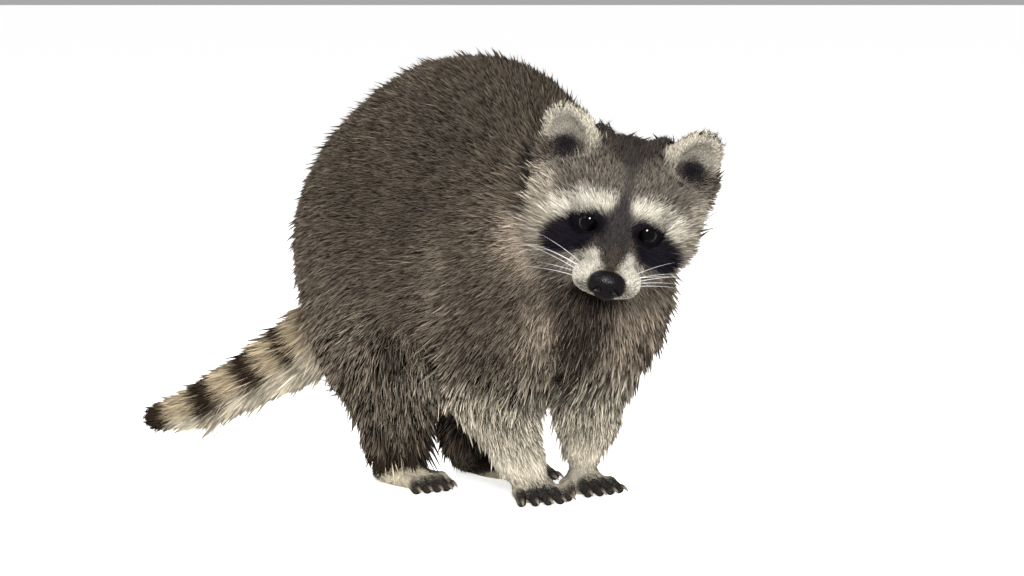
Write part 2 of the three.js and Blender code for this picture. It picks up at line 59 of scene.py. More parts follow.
EYES_AT = (153, -49.5, 207.4)
HEAD_YAW = -49.1
HEAD_PITCH = 24.4
HEAD_ROLL = -13.3
EYE_SPACING = 40
EYE_RADIUS = 9
EYE_INSET = -1.5
EYE_SHIFT = 1
EYE_RISE = 2
NOSE_AT = (45.5, 0, -17)
TAIL_ROOT = (-172, -4, 118)
TAIL_BEND = (-220, -28, 80)
TAIL_TURN = (-272, -68, 42)
TAIL_TIP = (-302, -90, 31)
TOES = 5
CLAW_LENGTH = 8
CLAW_RADIUS = 1.6
HAND = SimpleNamespace(heel=2, length=22, width=35, toe=20, toe_radius=4.5, spread=17)
SOLE = SimpleNamespace(heel=-8, length=54, width=33, toe=22, toe_radius=4.7, spread=9)
FEET = {
    "fore_right": SimpleNamespace(side=-1, at=(28.6, -12.5, 0), heading=-18, form=HAND),
    "fore_left": SimpleNamespace(side=1, at=(28, 35, 0), heading=-10, form=HAND),
    "hind_right": SimpleNamespace(side=-1, at=(-99.5, -34.5, 0), heading=-9, form=SOLE),
    "hind_left": SimpleNamespace(side=1, at=(-74, 33, 0), heading=4, form=SOLE),
}

# ---- Masses of flesh, each with the depth of its coat and the way that its hair lies ----


def turned(roll, pitch, yaw):
    """The rotation by roll about X, then pitch about Y, then yaw about Z, in degrees."""
    turns = [
        Matrix.Rotation(math.radians(angle), 3, axis)
        for angle, axis in ((yaw, "Z"), (pitch, "Y"), (roll, "X"))
    ]
    return np.array(turns[0] @ turns[1] @ turns[2])


def place(axes, origin):
    """A local frame."""
    return SimpleNamespace(axes=np.array(axes, float), origin=np.array(origin, float))


BODY = place(np.eye(3), (0, 0, 0))
HEAD = place(turned(HEAD_ROLL, HEAD_PITCH, HEAD_YAW), EYES_AT)


def out_of(base, points):
    """Points of a local frame, in the animal's frame."""
    return np.asarray(points, float) @ base.axes.T + base.origin


def into(base, points):
    """Points of the animal's frame, in a local frame."""
    return (np.asarray(points, float) - base.origin) @ base.axes


def lengths(vectors):
    return np.linalg.norm(vectors, axis=-1)


def unit(vectors):
    vectors = np.asarray(vectors, float)
    return vectors / np.maximum(lengths(vectors)[..., None], 1e-9)


def on_side(side, point):
    """A point of the left side, or the same one of the right."""
    return (point[0], side * point[1], point[2])


def ball(at, radii, coat, blend=26, base=BODY, turn=(0, 0, 0), lie=None, dent=False):
    """An ellipsoid. Its coat is one depth, or three along its own axes.

    lie None radiates from the nose, and "fan" spreads from the ball's own foot.
    """
    return SimpleNamespace(
        kind="ball",
        centre=out_of(base, at),
        axes=base.axes @ turned(*turn),
        radii=np.array(radii, float),
        coat=np.ones(3) * coat,
        blend=blend,
        lie=lie if lie in (None, "fan") else unit(base.axes @ np.array(lie, float)),
        dent=dent,
        reach=max(radii) + np.max(coat),
    )


def limb(a, b, radius_a, radius_b, coat, blend=16, base=BODY, lie=None, dent=False):
    """A tapered rod. Its hair lies along it, from a to b, unless lie says otherwise."""
    ends = out_of(base, [a, b])
    way = ends[1] - ends[0] if lie is None else base.axes @ np.array(lie, float)
    return SimpleNamespace(
        kind="limb",
        ends=ends,
        centre=ends.mean(0),
        radii=np.array([radius_a, radius_b], float),
        coat=coat,
        blend=blend,
        lie=unit(way),
        dent=dent,
        reach=lengths(ends[1] - ends[0]) / 2 + max(radius_a, radius_b) + coat,
    )


def both(make):
    """What make gives for the left side and for the right."""
    return [make(1), make(-1)]


ALONG_BACK = (-1, 0, -0.05)
DOWN_RUMP = (-0.75, 0, -0.65)
DOWN_CHEST = (-0.35, 0, -1)
DOWN_ARM = (-0.75, 0, -0.75)
DOWN_THIGH = (-0.6, 0, -0.8)
BACK_NECK = (-0.95, 0.1, -0.3)

TRUNK = [
    ball((-107, 0, 173), (78, 81, 96), 12, lie=DOWN_RUMP),
    ball((-60, 0, 200), (89, 83, 105), 11, lie=ALONG_BACK),
    ball((-20, 0, 206), (72, 79, 99), 11, lie=ALONG_BACK),
    ball((36, 0, 172), (66, 70, 80), 12, lie=(-1, 0, -0.25)),
    ball((76, 0, 158), (40, 44, 54), 18, lie=DOWN_CHEST),
    ball((-18, 0, 146), (82, 58, 66), 20, lie=(-0.9, 0, -0.45)),
]
SHOULDERS = [
    ball((58, 42, 158), (36, 24, 58), 13, 16, lie=DOWN_ARM),
    ball((52, -50, 150), (37, 28, 60), 13, 10, lie=DOWN_ARM),
]
THIGHS = both(lambda s: ball((-82, s * 56, 123), (48, 30, 58), 14, 24, lie=DOWN_THIGH))
NECK = [limb((66, 0, 186), (112, -16, 212), 44, 36, 16, 26, lie=BACK_NECK)]
TAIL = [
    limb((-162, 0, 145), TAIL_ROOT, 30, 20, 14, 20),
    limb(TAIL_ROOT, TAIL_BEND, 17, 12, 14, 16),
    limb(TAIL_BEND, TAIL_TURN, 12, 8, 13, 10),
    limb(TAIL_TURN, TAIL_TIP, 8, 5, 9, 8),
]
LEGS = {
    "fore_right": [
        limb((46, -54, 128), (27, -47, 92), 24, 24, 14, 14),
        limb((27, -47, 92), (34, -25, 30), 27, 12.5, 6.5, 14),
        limb((34, -25, 30), (40.5, -17, 10), 11, 9, 4, 8),
    ],
    "fore_left": [
        limb((52, 52, 128), (35, 45, 92), 24, 21, 14, 16),
        limb((35, 45, 92), (37, 41, 52), 22, 15, 10, 14),
        limb((37, 41, 52), (38, 35, 30), 15, 7, 5, 12),
        limb((38, 35, 30), (41, 33, 10), 7.5, 7.5, 3.5, 8),
    ],
    "hind_right": [
        limb((-54, -68, 112), (-78, -44, 36), 26, 14, 13, 20),
        limb((-78, -44, 36), (-86, -39, 14), 14, 11, 9, 10),
    ],
    "hind_left": [
        limb((-64, 63, 112), (-80, 36, 36), 26, 16, 13, 20),
        limb((-80, 36, 36), (-79, 33, 15), 16, 13, 9, 10),
    ],
}


def in_head(make, *shape, **more):
    """A ball or a limb given in the head's frame."""
    return make(*shape, base=HEAD, **more)


SKULL = [
    in_head(ball, (-40, 0, 4), (42, 35, 31), (6, 8, 5), 14),
    in_head(ball, (-14, 0, 9), (28, 25, 19), (3, 6, 6), 12),
    *both(lambda s: in_head(ball, (-26, s * 24, -17), (26, 16, 21), (3, 24, 9), 14)),
    *both(lambda s: in_head(ball, (-48, s * 30, 4), (20, 16, 22), (6, 18, 10), 14)),
    *both(lambda s: in_head(ball, (-42, s * 22, 33), (12, 10, 11), 7.5, 8, lie=(-0.4, 0, 1))),
    in_head(ball, (-44, 0, 31), (10, 14, 7), 7.5, 8, lie=(-0.4, 0, 1)),
    *both(lambda s: in_head(ball, (-46, s * 48, 22), (10, 9, 12), (5, 11, 8), 10)),
    in_head(ball, (-45, 0, -30), (30, 24, 24), 14, 16),
    in_head(limb, (0, 0, -11), (38, 0, -21), 17, 10, 2, 12, lie=(-1, 0, 0)),
    in_head(limb, (-6, 0, 3), (38, 0, -13), 12, 7, 1.5, 9, lie=(-1, 0, 0)),
    *both(lambda s: in_head(ball, (31, s * 11, -22.5), (13.5, 11.5, 9), 1.5, 6)),
    in_head(limb, (-22, 0, -34), (22, 0, -29), 13, 5, 2.5, 8, lie=(-1, 0, -0.1)),
    *both(lambda s: in_head(ball, (16, EYE_SHIFT + s * 21.5, EYE_RISE), (12, 12, 10), 0, 6, dent=True)),
]

EAR_AT = (-40, 42, 40)
EAR_RADII = (6, 18.5, 23)
EAR_COAT = 2.6
CUP_AT = (-31.5, 45, 42)
CUP_RADII = (10.5, 12.5, 17.5)
EAR_HOLE_SHADE_AT = (-37, 45, 35)


def ear(side):
    """An ear: a blade, hollowed on its front."""
    turn = (side * -16, 6, side * 22)
    return [
        in_head(ball, on_side(side, EAR_AT), EAR_RADII, EAR_COAT, 6, turn=turn, lie="fan"),
        in_head(ball, on_side(side, CUP_AT), CUP_RADII, 0, 2.5, turn=turn, dent=True),
    ]


# What only the skin has: eyelids, and the slit of the mouth.
LID_RADIUS = EYE_RADIUS + 1.1
OPENING_RADII = (10, 7.2, 6.2)


def eye_at(side):
    return (EYE_INSET, EYE_SHIFT + side * EYE_SPACING / 2, EYE_RISE)


def lids(side):
    """The ball of the lids, open in front."""
    x, y, z = eye_at(side)
    opening = (x + EYE_RADIUS + 2, y + side * 0.8, z)
    return [
        in_head(ball, (x, y, z), [LID_RADIUS] * 3, 0.5, 3),
        in_head(ball, opening, OPENING_RADII, 0, 1, turn=(side * 10, 0, 0), dent=True),
    ]


MOUTH = [
    in_head(limb, (40, 0, -28), (28, s * 11, -29), 1.1, 1.0, 0, 1.5, dent=True) for s in (1, -1)
] + [in_head(limb, (28, s * 11, -29), (6, s * 17, -27), 1.0, 0.6, 0, 1.5, dent=True) for s in (1, -1)]


def foot_frame(foot):
    return place(turned(0, 0, foot.heading), foot.at)


def toe_path(foot, toe):
    """The middle line of one toe in its foot's frame. Toe 0 is the innermost."""
    form = foot.form
    share = 2 * toe / (TOES - 1) - 1
    lateral = foot.side * share
    heading = math.radians(form.spread) * lateral
    set_back = 0.34 * form.toe if toe == 0 else 0.12 * form.toe * share * share
    root = (form.length - 6 - set_back, lateral * (form.width / 2 - 0.7 * form.toe_radius))

    def point(reach, z):
        return (root[0] + reach * math.cos(heading), root[1] + reach * math.sin(heading), z)

    return [point(0, 7.6), point(0.5 * form.toe, 7.4), point(0.92 * form.toe, 3.4)]


def foot_masses(foot):
    """A palm, and two lengths of each toe."""
    form = foot.form
    at = foot_frame(foot)
    ahead = (1, 0, -0.1)
    palm_end = form.length + 4
    palm_radii = ((palm_end - form.heel) / 2, form.width / 2 - 1.5, 9.5)
    masses = [ball(((palm_end + form.heel) / 2, 0, 7), palm_radii, 1.5, 8, at, lie=ahead)]
    for toe in range(TOES):
        start, knuckle, tip = toe_path(foot, toe)
        radius = form.toe_radius - 0.4
        masses.append(limb(start, knuckle, radius - 0.5, radius, 0.4, 3, at))
        masses.append(limb(knuckle, tip, radius, 0.82 * radius, 0.4, 1.5, at))
    return masses


LEG_MASSES = [mass for leg in LEGS.values() for mass in leg]
FOOT_MASSES = [mass for foot in FEET.values() for mass in foot_masses(foot)]
EAR_MASSES = ear(1) + ear(-1)
HEAD_MASSES = SKULL + EAR_MASSES
COAT_MASSES = TRUNK + SHOULDERS + THIGHS + NECK + TAIL + LEG_MASSES + HEAD_MASSES + FOOT_MASSES
SKIN_MASSES = COAT_MASSES + lids(1) + lids(-1) + MOUTH

# ---- The field: negative inside ----

CHUNK = 60000  # points worked on together
FAR = 45  # a mass this far from all points of a chunk has no say there


def nearest_on(points, a, b):
    """How far from a to b each point lies, held to 0 and 1, and how far from that line."""
    way = b - a
    share = np.clip((points - a) @ way / max(way @ way, 1e-9), 0, 1)
    return share, lengths(points - a - share[:, None] * way)


def distance_to(mass, points, coat):
    """Roughly how far points lie outside a mass grown by that share of its coat."""
    if mass.kind == "ball":
        radii = mass.radii + coat * mass.coat
        scaled = (points - mass.centre) @ mass.axes / radii
        reach = np.sqrt((scaled**2).sum(1))
        slope = np.sqrt(((scaled / radii) ** 2).sum(1))
        return reach * (reach - 1) / np.maximum(slope, 1e-9)
    share, gap = nearest_on(points, *mass.ends)
    radius = mass.radii[0] + (mass.radii[1] - mass.radii[0]) * share + coat * mass.coat
    return gap - radius


def smooth_union(a, b, blend):
    """Two fields joined with a fillet."""
    near = np.maximum(blend - np.abs(a - b), 0) / blend
    return np.minimum(a, b) - near * near * blend / 4


def field(points, masses, coat=0.0):
    """The field of some masses at points, with the floor as its lowest plane."""
    points = np.asarray(points, float)
    result = np.empty(len(points))
    for start in range(0, len(points), CHUNK):
        part = points[start : start + CHUNK]
        low, high = part.min(0), part.max(0)
        total = np.full(len(part), 1e3)
        for mass in masses:
            away = np.maximum(np.maximum(low - mass.centre, mass.centre - high), 0)
            if lengths(away) > mass.reach + FAR:
                continue
            distance = distance_to(mass, part, coat)
            if mass.dent:
                total = -smooth_union(-total, distance, mass.blend)
            else:
                total = smooth_union(total, distance, mass.blend)
        result[start : start + CHUNK] = np.maximum(total, -part[:, 2])
    return result


def gradient(points, function, step=0.4):
    """The slope of a field at points."""
    slopes = []
    for axis in range(3):
        offset = np.zeros(3)
        offset[axis] = step
        slopes.append((function(points + offset) - function(points - offset)) / (2 * step))
    return np.stack(slopes, 1)


def settle(points, function, steps=2, furthest=1.5):
    """Moves points along the field's slope on to its surface."""
    for _ in range(steps):
        slope = gradient(points, function)
        steep = np.maximum((slope**2).sum(1), 0.25)
        move = -slope * (function(points) / steep)[:, None]
        held = np.minimum(1, furthest / np.maximum(lengths(move), 1e-9))
        points = points + move * held[:, None]
    return points


# ---- The field as a mesh: one vertex in each cell that the surface crosses ----

BLOCK = 4  # grid points along a block, which is first tried once at its middle
ROUGH_BEYOND = 1.6  # blocks this many of their lengths from the surface keep that one value


def spread(blocks, counts):
    """Each block's value at all of its grid points."""
    for axis in range(3):
        blocks = np.repeat(blocks, BLOCK, axis)
    return blocks[: counts[0], : counts[1], : counts[2]]


def grid_values(function, low, counts, cell):
    """The field on a grid of points, exact near the surface and rough away from it."""
    blocks = -(-counts // BLOCK)
    middles = np.indices(blocks).reshape(3, -1).T * BLOCK + (BLOCK - 1) / 2
    rough = function(low + cell * middles).reshape(blocks)
    values = spread(rough, counts).copy()
    near = spread(np.abs(rough) < ROUGH_BEYOND * BLOCK * cell, counts)
    at = np.argwhere(near)
    values[near] = function(low + cell * at)
    return values


def net(function, low, high, cell):
    """Vertices and quads of the field's surface in a box."""
    low = np.array(low, float)
    counts = np.ceil((np.array(high) - low) / cell).astype(int) + 1
    values = grid_values(function, low, counts, cell)
    inside = values < 0
    corners = [(c & 1, (c >> 1) & 1, (c >> 2) & 1) for c in range(8)]

    def corner(array, c):
        return array[tuple(slice(o, n - 1 + o) for o, n in zip(corners[c], array.shape))]

    filled = sum(corner(inside, c).astype(np.int8) for c in range(8))
    cells = np.argwhere((filled > 0) & (filled < 8))
    index = np.full(counts, -1)
    index[tuple(cells.T)] = np.arange(len(cells))
    total = np.zeros((len(cells), 3))
    crossings = np.zeros(len(cells))
    for c in range(8):
        for axis in range(3):
            if corners[c][axis]:
                continue
            other = c | (1 << axis)
            here = values[tuple((cells + corners[c]).T)]
            there = values[tuple((cells + corners[other]).T)]
            crossed = (here < 0) != (there < 0)
            share = np.where(crossed, here / np.where(crossed, here - there, 1), 0)
            point = cells + corners[c] + share[:, None] * np.eye(3)[axis]
            total += point * crossed[:, None]
            crossings += crossed
    vertices = low + cell * total / crossings[:, None]
    quads = []
    for axis in range(3):
        u, v = np.eye(3, dtype=int)[[(axis + 1) % 3, (axis + 2) % 3]]
        ahead = np.eye(3, dtype=int)[axis]
        at = np.argwhere(inside[: -ahead[0] or None, : -ahead[1] or None, : -ahead[2] or None]
                         != inside[ahead[0] :, ahead[1] :, ahead[2] :])
        ring = np.stack([index[tuple((at - o).T)] for o in (0 * u, u, u + v, v)], 1)
        outward = inside[tuple(at.T)]
        quads.append(np.where(outward[:, None], ring, ring[:, ::-1]))
    return vertices, np.concatenate(quads)


# ---- Making objects ----


def box_middle(name):
    low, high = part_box(name)
    return (np.array(low) + np.array(high)) / 2


# The solids' frame has its origin under the middle of their box. The eyes say where that is.
EYES_MIDDLE = (box_middle("eye_left") + box_middle("eye_right")) / 2
ROW_SHIFT = EYES_MIDDLE / MM - out_of(HEAD, (EYE_INSET, EYE_SHIFT, EYE_RISE))
ROW_SHIFT[2] = 0


def to_row(points):
    return (np.asarray(points, float) + ROW_SHIFT) * MM


def set_points(mesh, points):
    """Puts a mesh's vertices at points of the animal's frame."""
    mesh.vertices.foreach_set("co", to_row(points).astype(np.float32).ravel())


def mesh_of(name, points, faces):
    """A mesh from points of the animal's frame and faces with equal numbers of corners."""
    mesh = bpy.data.meshes.new(name)
    faces = np.asarray(faces, np.int32)
    mesh.vertices.add(len(points))
    set_points(mesh, points)
    mesh.loops.add(faces.size)
    mesh.loops.foreach_set("vertex_index", faces.ravel())
    mesh.polygons.add(len(faces))
    mesh.polygons.foreach_set("loop_start", np.arange(len(faces)) * faces.shape[1])
    mesh.update(calc_edges=True)
    mesh.polygons.foreach_set("use_smooth", np.ones(len(faces), bool))
    return mesh


def new_object(name, data):
    made = bpy.data.objects.new(name, data)
    bpy.context.scene.collection.objects.link(made)
    return made


def add_piece(name, mesh, material):
    """An object that rides on the model's one body."""
    piece = new_object(name, mesh)
    mesh.materials.append(material)
    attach(piece, "root")
    return piece


def paint(mesh, name, values):
    """A colour attribute on vertices, from three or four numbers each."""
    colours = np.ones((len(values), 4), np.float32)
    colours[:, : values.shape[1]] = values
    layer = mesh.color_attributes.new(name, "FLOAT_COLOR", "POINT")
    layer.data.foreach_set("color", colours.ravel())


def ring_quads(rings, sides):
    """The quads between rings of vertices, each closed on itself."""
    start = np.arange(rings - 1)[:, None] * sides
    side = np.arange(sides)[None]
    after = (side + 1) % sides
    corners = [start + side, start + after, start + sides + after, start + sides + side]
    return np.stack(corners, 2).reshape(-1, 4)


def tube(points, radii, sides):
    """Vertices and quads of a closed tapered tube along points, pinched shut at both ends."""
    points = np.asarray(points, float)
    tangent = unit(np.gradient(points, axis=0))
    across = unit(np.cross(tangent, (0.1, 0.2, 1.0)))
    up = np.cross(tangent, across)
    angle = np.linspace(0, 2 * math.pi, sides, endpoint=False)
    ring = across[:, None] * np.cos(angle)[:, None] + up[:, None] * np.sin(angle)[:, None]
    vertices = points[:, None] + ring * np.asarray(radii, float)[:, None, None]
    return vertices.reshape(-1, 3), ring_quads(len(points), sides)


def joined(parts):
    """Several (vertices, faces) as one."""
    vertices, faces, count = [], [], 0
    for points, corners in parts:
        vertices.append(points)
        faces.append(corners + count)
        count += len(points)
    return np.concatenate(vertices), np.concatenate(faces)


# ---- Colours and markings ----


def colour(code):
    """Linear red, green and blue of a hex code."""
    channels = np.array([int(code[i : i + 2], 16) for i in (1, 3, 5)]) / 255
    return np.where(channels <= 0.04045, channels / 12.92, ((channels + 0.055) / 1.055) ** 2.4)


AGOUTI = colour("#423b33")
FLANK = colour("#463f37")
BELLY = colour("#5a544a")
CREAM = colour("#b2aa99")
CHEEK_PALE = colour("#8d8578")
WHITE = colour("#b5afa2")
BUFF = colour("#c0b6a0")
BLACK = colour("#17151a")
BROWN = colour("#241d17")
BRIDGE = colour("#2f2c2b")
NOSE_BROWN = colour("#3f3730")
GREY = colour("#514b44")
CROWN = colour("#292522")
TAIL_TAN = colour("#8c7f69")
EAR_RIM = colour("#9b9486")
EAR_INSIDE = colour("#8a8479")
EYE_WHITE = colour("#35312e")
EYE_RIM = colour("#030202")
IRIS = colour("#050303")
PUPIL = colour("#020202")
CLAW_ROOT = colour("#2e2620")
CLAW_TIP = colour("#71675a")
NOSE_PIT = colour("#060505")
NOSE_PEBBLE = colour("#100e0e")


def ease(low, high, value):
    """0 below low, 1 above high and smooth between. low may be the higher."""
    share = np.clip((value - low) / (high - low), 0, 1)
    return share * share * (3 - 2 * share)


def stroke(flat, path, soft):
    """Coverage of points by a brush stroke on a plane. The path is (across, up, radius) in turn."""
    nearest = np.full(len(flat), 1e3)
    for a, b in zip(path[:-1], path[1:]):
        share, gap = nearest_on(flat, np.array(a[:2]), np.array(b[:2]))
        nearest = np.minimum(nearest, gap - a[2] - (b[2] - a[2]) * share)
    return ease(soft, -soft, nearest)


# The face's markings lie on a plane that faces this far above the head's own axis, in degrees.
# Each is a brush stroke of steps (distance from the middle, height above the eyes, radius).
FACE_TILT = 30.9
MASK = [(17, -1.5, 8.5), (29, -10, 13.5), (39, -15.5, 10.5)]
BROW = [(10, 15, 5), (27, 14, 6.2), (41, 6, 7)]
CHEEK = [(50, 6, 8), (57, -4, 7), (59, -16, 7), (50, -34, 6)]
MUZZLE_SIDE = [(13, -21, 3.5), (15.5, -33, 11.5), (10, -45, 9)]
BRIDGE_STRIPE = [(1, 16, 4), (0, 2, 10), (0, -15, 11), (0, -28, 6)]
FOREHEAD_STRIPE = [(2, 46, 6), (2, 28, 3), (1, 10, 4)]
NOSE_TOP = [(0, -20, 6), (0, -33, 7)]
CROWN_TOP = [(0, 62, 20), (26, 66, 14)]
NECK_BAR = [(58, 42, 6), (66, 20, 7)]
# The strokes in order: (path, mirrored, colour, softness, strength).
FACE_STROKES = [
    (CHEEK, True, CHEEK_PALE, 6, 0.8),
    (BROW, True, WHITE, 6, 0.95),
    (FOREHEAD_STRIPE, False, BRIDGE, 4, 0.75),
    (BRIDGE_STRIPE, False, BRIDGE, 3, 1.0),
    (MASK, True, BLACK, 2, 1.0),
    (MUZZLE_SIDE, True, WHITE, 2.2, 1.0),
    (NOSE_TOP, False, NOSE_BROWN, 4, 0.7),
]
# The tail's dark rings: (place along it, half width), as shares of its length.
TAIL_RINGS = [(0.16, 0.03), (0.34, 0.045), (0.55, 0.055), (0.78, 0.06), (1.06, 0.08)]
# The throat's dark line: the throat's own dark hair, with painted shade under the muzzle.
THROAT_PATCH_AND_SHADE = [(107, -64, 160), (126, -42, 160), (124, -38, 148), (120, -39, 140), (113, -40, 127)]
# The body's darker and paler hair lies along these lines, and some of the darker lines are painted
# shade.
# Each is (points, mirrored, tone, strength, how far it reaches, how far it is full).
BODY_LINES = [
    # the chest, the neck's ruff, and the throat's dark line down between the forelegs: dark throat hair,
    # and painted shade under the muzzle and between the forelegs
    ([(134, 0, 150), (132, 1, 131), (124, -4, 108), (100, 4, 88)], False, 1.4, 0.8, 32, 12),
    ([(82, -76, 200), (87, -78, 178), (89, -79, 155), (88, -77, 134)], False, 2.5, 0.85, 30, 10),
    (THROAT_PATCH_AND_SHADE, False, 0.12, 1, 24, 9),
    ([(113, -40, 127), (105, -39, 114), (88, -29, 93), (50, -10, 74)], False, 0.2, 0.95, 24, 9),
    # the withers, and painted shade in the hollows behind the shoulder and the elbow
    ([(8, 50, 288), (12, 0, 300)], True, 0.62, 0.9, 74, 30),
    ([(-6, 91, 216), (-9, 92, 191)], True, 0.6, 0.8, 26, 6),
    ([(-27, 95, 124), (-30, 99, 108), (-22, 85, 93)], True, 0.35, 0.9, 18, 6),
    # the upper arm, its rear edge, and the elbow
    ([(62, 76, 150), (46, 80, 112)], True, 0.6, 0.8, 44, 18),
    ([(6, 89, 188), (4, 87, 156), (-9, 86, 133), (-6, 78, 110)], True, 1.6, 0.9, 20, 6),
    ([(14, 78, 84), (24, 74, 70), (30, 60, 56)], True, 1.9, 0.8, 20, 6),
]
# Ahead of the end of the palm, where a foot begins to darken and where it is darkest.
HAND_DARK = (-5, 8)
SOLE_DARK = (-1, 13)


def over(under, top, share):
    """Colours, with another laid over them by that share."""
    return under + (top - under) * share[:, None]


def tail_share(points):
    """How far along the tail points lie, 0 at its root and 1 at its tip, and how far above its axis."""
    path = np.array([TAIL_ROOT, TAIL_BEND, TAIL_TURN, TAIL_TIP], float)
    steps = lengths(np.diff(path, axis=0))
    best = np.full(len(points), 1e9)
    share, above = np.zeros((2, len(points)))
    for i, (a, b) in enumerate(zip(path[:-1], path[1:])):
        along = (points - a) @ (b - a) / steps[i] ** 2
        # the first step runs on before its start, and the last one past its end
        low, high = (-1 if i == 0 else 0), (2 if i == 2 else 1)
        along = np.clip(along, low, high)
        off = points - a - along[:, None] * (b - a)
        gap = lengths(off)
        nearer = gap < best
        above = np.where(nearer, off[:, 2], above)
        best = np.where(nearer, gap, best)
        share = np.where(nearer, (steps[:i].sum() + along * steps[i]) / steps.sum(), share)
    return share, above


def beside(points, line):
    """How far points lie from a line through several points."""
    nearest = np.full(len(points), 1e3)
    for a, b in zip(np.array(line[:-1]), np.array(line[1:])):
        nearest = np.minimum(nearest, nearest_on(points, a, b)[1])
    return nearest


class Markings:
    """The coat's colour at points, and how strongly its hairs are banded there."""

    def __init__(self, points):
        self.points = points
        self.hue = np.tile(AGOUTI, (len(points), 1))
        self.grizzle = np.ones(len(points))

    def lay(self, tint, share, calm=0):
        """Lays a colour over the rest by that share, and calms the banding by calm of it."""
        self.hue = over(self.hue, tint, share)
        self.grizzle = self.grizzle * (1 - calm * share)


def mark_body(marks):
    """Grizzled grey brown, paler below, with the body's lines over it, some of them painted shade."""
    x, y, z = marks.points.T
    marks.lay(FLANK, ease(230, 150, z))
    marks.lay(BELLY, ease(120, 60, z) * ease(-60, 10, x))
    folded = np.stack([x, np.abs(y), z], 1)
    for line, mirrored, tone, strength, reach, full in BODY_LINES:
        gap = beside(folded if mirrored else marks.points, line)
        marks.lay(tone * FLANK, strength * ease(reach, full, gap))


def mark_legs(marks):
    """Cream forearms, and a dark cuff above each hind foot. The left hind leg and its cuff are paler, as
    painted light that lifts the shade on that leg.
    """
    x, y, z = marks.points.T
    fore = ease(-30, -20, x)
    low = fore * (0.2 * ease(92, 74, z) + 0.8 * ease(66, 24, z))
    marks.lay(CREAM, low, calm=0.75)
    # painted light: the left hind leg is made paler and its cuff fainter, to lift the shade that the
    # body casts on it
    left_hind_painted_light = (1 - fore) * ease(10, 20, y)
    marks.hue = marks.hue * (1 + 0.5 * left_hind_painted_light * ease(100, 60, z))[:, None]
    cuff = (1 - fore) * ease(50, 32, z) * ease(-150, -130, x) * (1 - 0.45 * left_hind_painted_light)
    marks.lay(BROWN, cuff, calm=0.6)


def mark_feet(marks):
    """Pale feet with dark toes. The pale part ends at a slope above the foot."""
    for foot in FEET.values():
        x, y, z = into(foot_frame(foot), marks.points).T
        form = foot.form
        hind = form is SOLE
        top = 3 + 0.36 * x - 9 * ease(-2, 6, -y * foot.side) if hind else 13 + 0.16 * x
        on = ease(4, -3, z - top) * ease(-22, -14, x) * ease(form.length + 34, form.length + 28, x)
        on = on * ease(form.width / 2 + 12, form.width / 2 + 6, np.abs(y))
        marks.lay(BUFF if hind else CREAM, on, calm=1)
        dark_from, darkest = SOLE_DARK if hind else HAND_DARK
        toes = on * ease(form.length + dark_from, form.length + darkest, x)
        marks.lay(BLACK, toes * 0.93)


def mark_tail(marks):
    """Tan, cream below, with dark rings that fade below. The tip is dark all round."""
    share, above = tail_share(marks.points)
    on = ease(-172, -188, marks.points[:, 0]) * ease(0.0, 0.25, share)
    marks.lay(TAIL_TAN, on, calm=0.85)
    marks.lay(CREAM, on * ease(0, -9, above) * 0.7)
    rings = np.zeros(len(share))
    for middle, half in TAIL_RINGS:
        rings = np.maximum(rings, ease(half + 0.028, half - 0.028, np.abs(share - middle)))
    rings = rings * np.where(share > 0.9, 1, ease(-15, -3, above) * 0.7 + 0.3)
    marks.lay(BROWN, on * rings)


def face_planes(local):
    """Points of the head's frame on the plane of the markings: one half folded over, and both."""
    tilt = math.radians(FACE_TILT)
    height = (local[:, 2] - EYE_RISE) * math.cos(tilt) - local[:, 0] * math.sin(tilt)
    across = np.abs(local[:, 1] - EYE_SHIFT * ease(-30, 0, height))
    return np.stack([across, height], 1), np.stack([local[:, 1], height], 1)


def mark_head(marks):
    """Grey, with the crown, the strokes, a dark bar on the neck, the nose's edge and the chin."""
    local = into(HEAD, marks.points)
    depth, level = local[:, 0], local[:, 2]
    folded, plane = face_planes(local)
    across, height = folded.T
    gap = lengths(local - (-20, 0, 0))
    near = ease(76, 62, gap)
    front = ease(-52, -40, depth)
    above_jaw = ease(-6, 6, depth) * ease(-44, -37, level)
    marks.lay(GREY, near * front * ease(-66, -46, level))
    rim = ease(44, 52, across) * ease(68, 62, across) * ease(34, 22, height) * ease(-44, -30, height)
    marks.lay(CHEEK_PALE, 0.8 * near * front * rim)
    marks.lay(CROWN, near * stroke(folded, CROWN_TOP, 7))
    calm = np.zeros(len(local))
    for path, mirrored, tone, soft, strength in FACE_STROKES:
        ahead = above_jaw if path is MUZZLE_SIDE else front
        share = strength * near * ahead * stroke(folded if mirrored else plane, path, soft)
        marks.lay(tone, share)
        calm = np.maximum(calm * (1 - share), share)
    bar = ease(105, 90, gap) * stroke(folded, NECK_BAR, 4) * ease(-44, -56, depth)
    marks.lay(BLACK, bar)
    around_nose = lengths((local - NOSE_AT) / (9, 13.5, 10.5))
    marks.lay(NOSE_BROWN, ease(1.15, 1.02, around_nose))
    chin = near * ease(-24, -30, level) * ease(-46, -42, level)
    chin = chin * ease(-4, 8, depth) * ease(20, 13, across)
    marks.lay(CHEEK_PALE, 0.5 * chin)
    marks.grizzle = marks.grizzle * (1 - 0.85 * np.maximum(calm, bar))


